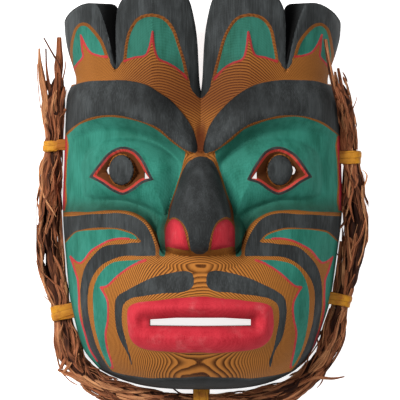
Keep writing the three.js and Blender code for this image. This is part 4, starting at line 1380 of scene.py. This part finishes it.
def black_paint(g, brush, fibres):
    worn = g.range(brush, 0.4, 0.7, 0.0, 0.5) + g.range(fibres, 0.42, 0.75, 0.0, 0.5)
    black = g.mix(worn, BLACK_PAINT, BLACK_WORN)
    # Darker in places, and where shade is painted
    return g.mix(g.range(g.attribute("grime_and_shade"), 0.25, 0.9), black, BLACK_GRIME_AND_SHADE)


def red_paint(g, brush, grain):
    dusty = g.noise(g.place((0.07, 0.07, 0.07)), detail=5.0, roughness=0.65)
    red = g.mix(g.range(dusty, 0.5, 0.75, 0.0, 0.6), RED_PAINT, RED_WORN)
    red = g.mix(g.range(brush, 0.4, 0.75, 0.0, 0.4) + grain * 1.3, red, RED_SHADE)
    return soiled_and_shaded(g, red, RED_GRIME_AND_SHADE)


def covered(g, depth):
    """1 inside a painted shape and 0 outside it."""
    return g.range(depth, -PAINT_SOFT, PAINT_SOFT)


def between(g, depth, low, high):
    """1 where a depth lies between two others."""
    return covered(g, depth - low) * covered(g, high - depth)


def painted_areas(g):
    """How much each coat of paint covers, the bare wood at the sides, and the painted shade in the eye's
    recess.
    """
    rough_edge = (g.noise(g.place((0.9, 0.9, 0.9)), detail=2.0) - 0.5) * 0.5
    names = ("black", "red", "green", "side", "edge", "edged", "eye", "iris")
    depth = {name: g.attribute(name) + rough_edge for name in names}
    eye, iris = depth["eye"], depth["iris"]
    off_iris = 1 - covered(g, iris + IRIS_RIM)
    iris_rim = between(g, iris, -IRIS_RIM, 0)
    lid_black = between(g, eye, 0, LID_BLACK) * off_iris
    lid_red = between(g, eye, LID_BLACK, LID_BLACK + LID_RED) * off_iris * 0.75
    red_line = between(g, depth["edge"], -RED_HALF, RED_HALF) * covered(g, depth["edged"]) * 0.85
    return {
        "recess": covered(g, eye - (LID_BLACK + LID_RED)) * g.range(iris_rim, 0.0, 1.0, 0.9, 0.0),
        "green": covered(g, depth["green"]) * (1 - covered(g, eye)),
        "side": covered(g, depth["side"]),
        "black": g.largest(covered(g, depth["black"]), lid_black, covered(g, iris)),
        "red": g.largest(covered(g, depth["red"]), red_line, lid_red),
    }


def painted_cedar():
    """The wood of the front with its coats of paint, through which its grain shows a little."""
    g = Shader("painted_cedar", 0.6, 0.035)
    rings = growth_rings(g)
    fibres = fibre_streaks(g)
    brush = g.noise(g.place((0.09, 0.03, 0.09)), detail=4.0, roughness=0.6)
    grain = rings * 0.15 + g.range(fibres, 0.4, 0.7) * 0.33
    wood = front_wood(g, rings, fibres)
    area = painted_areas(g)
    # Painted shade in the eye's recess
    colour = g.mix(area["recess"], wood, RECESS_SHADE)
    colour = g.mix(area["green"], colour, green_paint(g, brush, grain))
    colour = g.mix(area["side"], colour, wood)
    colour = g.mix(area["black"], colour, black_paint(g, brush, fibres))
    colour = g.mix(area["red"], colour, red_paint(g, brush, grain))
    g.colour(colour)
    coat = g.largest(area["green"], area["black"], area["red"])
    g.bump(fibres * 0.7 - rings * 0.4 + coat * 0.8, 0.2, 0.5)
    return g.material


def bare_cedar():
    g = Shader("bare_cedar", 0.7)
    rings = growth_rings(g)
    fibres = fibre_streaks(g)
    g.colour(wood_colour(g, rings, fibres, OLD_WOOD, LATE_WOOD))
    g.bump(fibres - rings * 0.5, 0.25, 0.6)
    return g.material


def black_cedar():
    """The black sides of the lobes, with painted shadow in the gaps between them."""
    g = Shader("black_cedar", 0.8, 0)
    fibres = fibre_streaks(g)
    off_centre = g.math("ABSOLUTE", g.split(g.place())[0] - float(SHIFT[0]))
    start, full, fades, end = GAP_SIDE
    # Painted shadow in the gap between the lobes
    gap_shadow = g.range(off_centre, start, full) * g.range(off_centre, fades, end, 1.0, 0.0)
    black = g.mix(g.range(fibres, 0.42, 0.72, 0.0, 0.6), BLACK_PAINT, BLACK_WORN)
    g.colour(g.mix(g.largest(gap_shadow, g.range(g.attribute("grime_and_shade"), 0.25, 0.9)), black, BLACK_GRIME_AND_SHADE))
    g.bump(fibres, 0.18, 0.5)
    return g.material


def cedar_bark():
    g = Shader("cedar_bark", 0.75, 0.12)
    along, across, tone, out = (g.attribute(name) for name in ("along", "across", "tone", "out"))
    streaks = g.noise(g.combine(across * 1.9, along * 0.035, tone * 60), detail=5.0, roughness=0.75)
    wide = g.noise(g.combine(across * 0.35, along * 0.05, tone * 31), detail=2.0)
    light = tone * 0.9 + (wide * 0.9 - 0.5)
    body = g.mix(g.range(light, -0.1, 0.35), BARK_DARK, BARK_MID)
    body = g.mix(g.range(light, 0.4, 0.95), body, BARK_LIGHT)
    streaked = g.mix(g.range(streaks, 0.47, 0.62, 0.0, 0.85), body, BARK_DARK)
    # Painted shade: the deeper a strip lies in the bundle, the darker
    g.colour(g.mix(g.range(out, 0.55, 0.92, 0.9, 0.0), streaked, BARK_DARK))
    g.bump(streaks, 0.4, 0.9)
    return g.material


def tie_leather():
    g = Shader("tie_leather", 0.55, 0.15)
    patch = g.noise(g.place((0.1, 0.1, 0.1)), detail=4.0, roughness=0.6)
    pores = g.noise(g.place((1.4, 1.4, 1.4)), detail=2.0)
    worn = g.range(patch + pores * 0.3, 0.5, 0.85)
    # Worn patches, and painted shade towards the mask
    skin = g.mix(g.largest(worn, g.attribute("shaded_brown")), LEATHER_GOLD, LEATHER_WORN_AND_SHADED)
    # Painted shade along the edges of each turn
    g.colour(g.mix(g.range(g.attribute("edge"), 0.7, 1.0, 0.0, 0.9), skin, LEATHER_EDGE_SHADE))
    g.bump(pores + patch, 0.25, 0.5)
    return g.material


# The stage, in metres: a pale floor that glows a little, so that it reads white under the mask too
FLOOR_HALF = 3
FLOOR_Z = -0.0002  # just below the rim, so that the two don't flicker into each other
FLOOR_GLOW = 0.8
ROOM_LIGHT = 0.4
LIGHTS = {
    "key": {"place": (-1.1, 0.6, 1.6), "power": 58},
    "fill": {"place": (0.5, 0, 1.9), "power": 11},
}
LIGHT_SIZE = 0.9
LIT_PLACE = (0, 0, 0.05)


def pale_floor():
    g = Shader("pale_floor", 0.9)
    g.colour(FLOOR_WHITE)
    g.surface.inputs["Emission Color"].default_value = (1, 1, 1, 1)
    g.surface.inputs["Emission Strength"].default_value = FLOOR_GLOW
    corners = np.array([(-1, -1, 0), (1, -1, 0), (1, 1, 0), (-1, 1, 0)]) * FLOOR_HALF + [0, 0, FLOOR_Z]
    new_piece("floor", corners, [(0, 1, 2, 3)], g.material)


def soft_light(name, place, power):
    data = bpy.data.lights.new(name, "AREA")
    data.shape = "DISK"
    data.size = LIGHT_SIZE
    data.energy = power
    light = bpy.data.objects.new(name, data)
    light.location = place
    light.rotation_euler = (Vector(LIT_PLACE) - Vector(place)).to_track_quat("-Z", "Y").to_euler()
    bpy.context.scene.collection.objects.link(light)


def lights():
    world = bpy.data.worlds.new("studio")
    world.use_nodes = True
    world.node_tree.nodes["Background"].inputs["Color"].default_value = (1, 1, 1, 1)
    world.node_tree.nodes["Background"].inputs["Strength"].default_value = ROOM_LIGHT
    bpy.context.scene.world = world
    for name, light in LIGHTS.items():
        soft_light(name, light["place"], light["power"])


# The camera looks straight down, from a little to the right
CAMERA_TILT = math.radians(1.3)
CAMERA_DISTANCE = 4
FRAME_WIDTH = 0.34  # what the picture shows at the depth of the face
LOOKS_AT = Vector((SHIFT[0] * MM - 0.0012, 0.0015, 0.05))


def camera():
    data = bpy.data.cameras.new("camera")
    data.sensor_width = 36
    data.lens = data.sensor_width * CAMERA_DISTANCE / FRAME_WIDTH
    data.clip_end = 50
    made = bpy.data.objects.new("camera", data)
    back = Vector((math.sin(CAMERA_TILT), 0, math.cos(CAMERA_TILT)))
    right = Vector((math.cos(CAMERA_TILT), 0, -math.sin(CAMERA_TILT)))
    made.matrix_world = Matrix((right, Vector((0, 1, 0)), back)).transposed().to_4x4()
    made.location = LOOKS_AT + back * CAMERA_DISTANCE
    bpy.context.scene.collection.objects.link(made)
    bpy.context.scene.camera = made


def place_piece(piece, slot, *nodes):
    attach(piece, "root")
    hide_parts(*nodes)


mask = carve((painted_cedar(), bare_cedar(), black_cedar()))
write_values(mask, paint(*(points_of(mask.data) / MM - SHIFT).T))
finish_mesh(mask, 40)
place_piece(mask, "painted_cedar", "mask")

wreath = bark_bundle(cedar_bark())
finish_mesh(wreath, 28)
place_piece(wreath, "cedar_bark", "bark_wreath")

leather = tie_leather()
for name, tie in TIES.items():
    strap = leather_tie(name, tie, leather)
    finish_mesh(strap, 60)
    place_piece(strap, "tie_leather", name)

pale_floor()
lights()
camera()
bpy.context.scene.view_settings.view_transform = "Standard"
